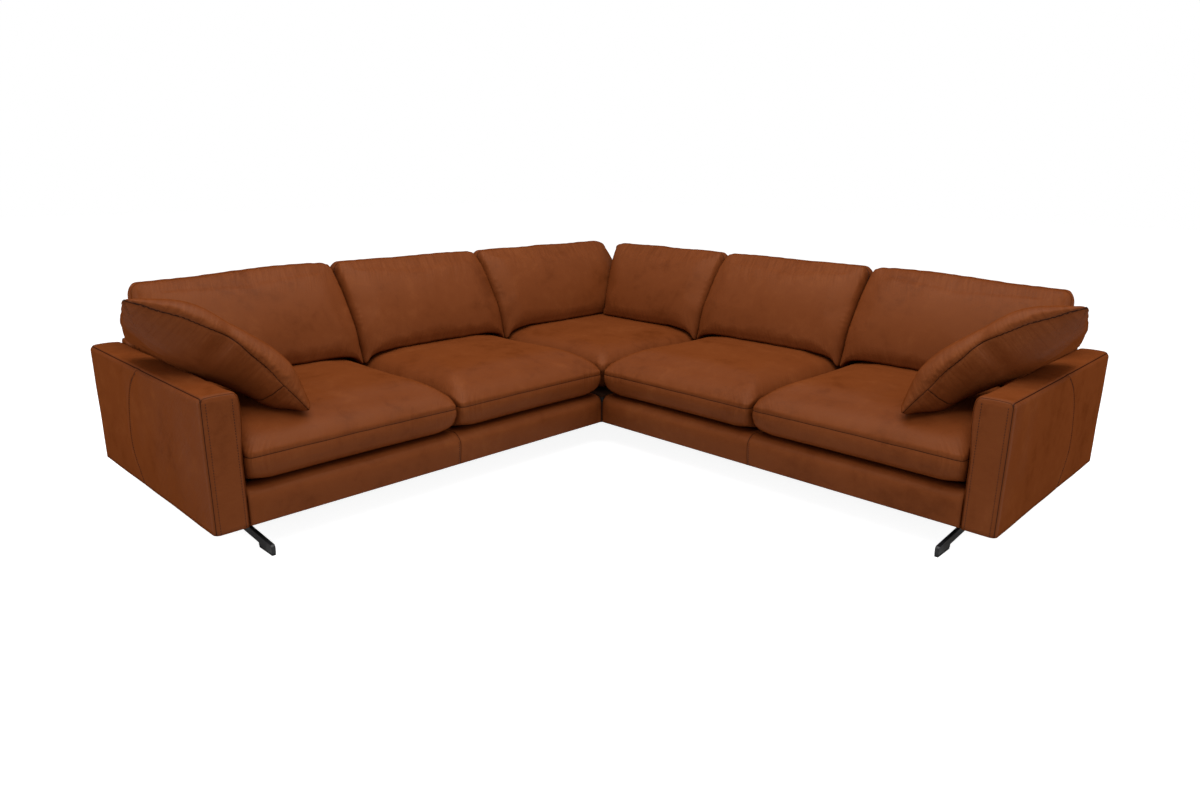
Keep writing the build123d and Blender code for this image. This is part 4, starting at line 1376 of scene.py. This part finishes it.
def back_panel(start, end, clear=0.0):
    """A padded back panel, hollow over its timber, with soft waves that stay within the solid."""
    bm = back_bar(
        [(BACK_INNER_REAR, UNDERSIDE), (BACK_INNER_REAR, BACK_INNER_TOP),
         (BACK_HEAD_FACE + BACK_FRONT_WALL, BACK_INNER_TOP), (BACK_INNER_FOOT, DECK_TOP)],
        start, end - clear,
    )
    slice_evenly(bm, 0, APEX.x + start, APEX.x + end, BACK_SLICE)
    slice_evenly(bm, 2, UNDERSIDE, BACK_TOP, BACK_SLICE)
    bm.normal_update()
    for v in bm.verts:
        along, behind, up = on_right_wing(v.co)
        inner = BACK_INNER_FOOT - BACK_MARGIN < behind < BACK_INNER_REAR + BACK_MARGIN
        if inner and up < BACK_INNER_TOP + BACK_MARGIN:
            continue
        v.co += v.normal * (BACK_WAVE * noise.noise(Vector((along * 4, behind * 6, up * 5))) - BACK_SHY)
    return bm


def back_panel_seams(middle):
    """An upright seam behind at a panel's middle, and one along its rear top edge."""
    def seams(co, normal):
        along, behind, up = on_right_wing(co)
        gap = along - middle
        if normal.y < 0.3 and normal.z < 0.3:
            gap = math.copysign(NO_SEAM, gap)
        top = edge_gap(normal.z, BACK_ROUND) if behind > DEPTH - BACK_ROUND - 0.004 else -NO_SEAM
        return gap, top, NO_SEAM, along, 0.3 * math.exp(-abs(top) / 0.03)
    return seams


wing_back = as_object("right_back_panel_leather", back_panel(SECTION_GAP, ARM_FACE, PANEL_CLEAR))
mark_seams(wing_back, back_panel_seams(RAIL_SEAM_ALONG))
dress_wings(wing_back, "back_panel_leather", LEATHER, "back_cover")

CORNER_END = BACK_REAR_WALL - DEPTH
CORNER_JOINT = 0.0006
corner_wall = as_object(
    "corner_end_wall_leather",
    back_bar([(BACK_INNER_FOOT, UNDERSIDE), (BACK_INNER_FOOT, DECK_TOP)], -DEPTH, CORNER_END),
)
corner_wall.data.shade_flat()
mark_seams(corner_wall, lambda co, normal: (NO_SEAM, NO_SEAM, NO_SEAM, 0.0, 0.0))
dress_piece(corner_wall, "corner_unit", LEATHER, "leather")


def corner_side_blank():
    """The corner's side panel, still on the right wing's side, cut where it meets the rear panel.

    Above the deck the cut leans as the rear panel does, and below the deck it is upright.
    """
    bm = back_panel(-BACK_HEAD_FACE, -SECTION_GAP)
    deck = wing_place(0, 0, DECK_TOP)
    bmesh.ops.bisect_plane(bm, geom=all_of(bm), plane_co=deck, plane_no=(0, 0, 1), dist=SAME)
    level = [e for e in bm.edges if all(abs(v.co.z - DECK_TOP) < SAME for v in e.verts)]
    bmesh.ops.split_edges(bm, edges=level)
    lean = Vector((BACK_HEAD_FACE - BACK_FOOT_FACE, 0, BACK_TOP - DECK_TOP))
    for upper, foot, outward in (
        (True, BACK_FOOT_FACE, Vector((-lean.z, 0, -lean.x)).normalized()),
        (False, BACK_INNER_FOOT, Vector((-1, 0, 0))),
    ):
        half = [f for f in bm.faces if (f.calc_center_median().z > DECK_TOP) == upper]
        rims = [v for f in half for v in f.verts] + [e for f in half for e in f.edges]
        bmesh.ops.bisect_plane(
            bm, geom=list(dict.fromkeys(rims + half)), plane_co=wing_place(CORNER_JOINT - foot, 0, DECK_TOP),
            plane_no=outward, dist=SAME, clear_outer=True,
        )
    bmesh.ops.remove_doubles(bm, verts=bm.verts[:], dist=SAME)
    return as_object("corner_side_panel_blank", bm)


corner_rear = as_object("corner_rear_panel_leather", back_panel(CORNER_END, -SECTION_GAP))
side_blank = corner_side_blank()
for panel in (corner_rear, side_blank):
    mark_seams(panel, back_panel_seams(-DEPTH / 2))
corner_side = mirrored(side_blank, "corner_side_panel_leather")
bpy.data.objects.remove(side_blank)
for piece, node in ((corner_rear, "corner_rear_back_cover"), (corner_side, "corner_side_back_cover")):
    dress_piece(piece, "corner_unit", LEATHER, "leather", node)


# Legs with softened edges, and finishes for the nodes that show as they are

BLADE_BEVEL = 0.0013


def softened(node):
    """A copy of a hard CAD node with fine bevelled edges."""
    bm = cad_copy(node)
    bmesh.ops.dissolve_limit(bm, angle_limit=0.01, verts=bm.verts, edges=bm.edges)
    sharp = [e for e in bm.edges if len(e.link_faces) == 2 and e.calc_face_angle() > 0.3]
    round_edges(bm, sharp, BLADE_BEVEL, 2)
    return as_object(node + "_metal", bm)


for side in ("right", "left"):
    for blade in ("leg_front_blade", "leg_rear_blade"):
        node = f"{side}_{blade}"
        piece = softened(node)
        piece.modifiers.new("flat faces", "WEIGHTED_NORMAL").keep_sharp = True
        dress_piece(piece, side + "_unit", BLACK_METAL, "black_metal", node)

NODE_FINISH = {
    "_deck": DECK_LINING_AS_SHADED_LEATHER, "_dust_cover": LINING, "_lining": SIDE_LINING, "_webbing": WEBBING,
    "_frame": TIMBER, "_plate": BLACK_METAL, "_toe_pads": PAD_RUBBER, "_feet": BLACK_PLASTIC,
    "_tongues": LINK_STEEL, "_clips": LINK_STEEL, "_screws": LINK_STEEL,
}
for name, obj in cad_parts.items():
    for ending, material in NODE_FINISH.items():
        if name.endswith(ending):
            obj.data.materials.clear()
            obj.data.materials.append(material)


# Floor, light and camera

FLOOR_SIZE = 40.0
FLOOR_COLOUR = (0.58, 0.58, 0.58)
FLOOR_DRIFT = 0.985
FLOOR_GLOW = 0.90
AMBIENT = 0.27


def floor_material():
    """A pale floor that keeps the shadow and looks white to the camera."""
    made = bpy.data.materials.new("pale_floor")
    made.use_nodes = True
    tree = made.node_tree
    shader = tree.nodes["Principled BSDF"]
    shader.inputs["Roughness"].default_value = 0.9
    shader.inputs["Specular IOR Level"].default_value = 0.1
    place = put(tree, "ShaderNodeTexCoord").outputs["Object"]
    drifted = tuple(c * FLOOR_DRIFT for c in FLOOR_COLOUR)
    colour = blend_colour(tree, clouds(tree, place, scale=1.5), FLOOR_COLOUR + (1,), drifted + (1,))
    tree.links.new(colour, shader.inputs["Base Color"])
    shader.inputs["Emission Color"].default_value = (1, 1, 1, 1)
    seen = put(tree, "ShaderNodeLightPath").outputs["Is Camera Ray"]
    tree.links.new(sums(tree, "MULTIPLY", seen, FLOOR_GLOW), shader.inputs["Emission Strength"])
    return made


floor_bm = bmesh.new()
bmesh.ops.create_grid(floor_bm, x_segments=8, y_segments=8, size=FLOOR_SIZE / 2)
floor = as_object("floor", floor_bm)
floor.data.materials.append(floor_material())

world = bpy.data.worlds.new("studio")
bpy.context.scene.world = world
world.use_nodes = True
sky = world.node_tree
background = sky.nodes["Background"]
background.inputs["Color"].default_value = (1, 1, 1, 1)
rays = put(sky, "ShaderNodeLightPath")
seen = sums(sky, "MAXIMUM", rays.outputs["Is Camera Ray"], rays.outputs["Is Transmission Ray"])
strength = sums(sky, "ADD", sums(sky, "MULTIPLY", seen, 1.0 - AMBIENT), AMBIENT)
sky.links.new(strength, background.inputs["Strength"])


def lamp(name, place, target, size, power):
    """A square soft box."""
    light = bpy.data.lights.new(name, "AREA")
    light.shape = "SQUARE"
    light.size = size
    light.energy = power
    made = bpy.data.objects.new(name, light)
    made.location = place
    made.rotation_euler = (Vector(target) - Vector(place)).to_track_quat("-Z", "Y").to_euler()
    bpy.context.scene.collection.objects.link(made)


lamp("overhead", place=(0.2, -0.2, 4.2), target=(0, 0, 0), size=4.5, power=182)
lamp("front", place=(3.0, -3.1, 1.5), target=(-0.4, 0.4, 0.3), size=2.6, power=26)
lamp("left side", place=(-1.5, -3.4, 1.3), target=(-0.9, -1.5, 0.4), size=1.8, power=24)
lamp("right side", place=(3.4, 1.5, 1.3), target=(1.5, 0.9, 0.4), size=1.8, power=24)

heading = Vector((math.cos(CAMERA_HEADING), math.sin(CAMERA_HEADING), 0))
forward = heading * math.cos(CAMERA_PITCH) - Vector((0, 0, math.sin(CAMERA_PITCH)))
level_right = Vector((math.sin(CAMERA_HEADING), -math.cos(CAMERA_HEADING), 0))
level_up = level_right.cross(forward)
view_right = level_right * math.cos(CAMERA_ROLL) + level_up * math.sin(CAMERA_ROLL)
view_up = level_up * math.cos(CAMERA_ROLL) - level_right * math.sin(CAMERA_ROLL)
camera_data = bpy.data.cameras.new("camera")
camera_data.lens = CAMERA_LENS
camera_data.sensor_width = SENSOR
camera = bpy.data.objects.new("camera", camera_data)
bpy.context.scene.collection.objects.link(camera)
turn = Matrix((view_right, view_up, -forward)).transposed().to_4x4()
camera.matrix_world = Matrix.Translation(CAMERA_PLACE) @ turn
bpy.context.scene.camera = camera
bpy.context.scene.view_settings.view_transform = "Standard"
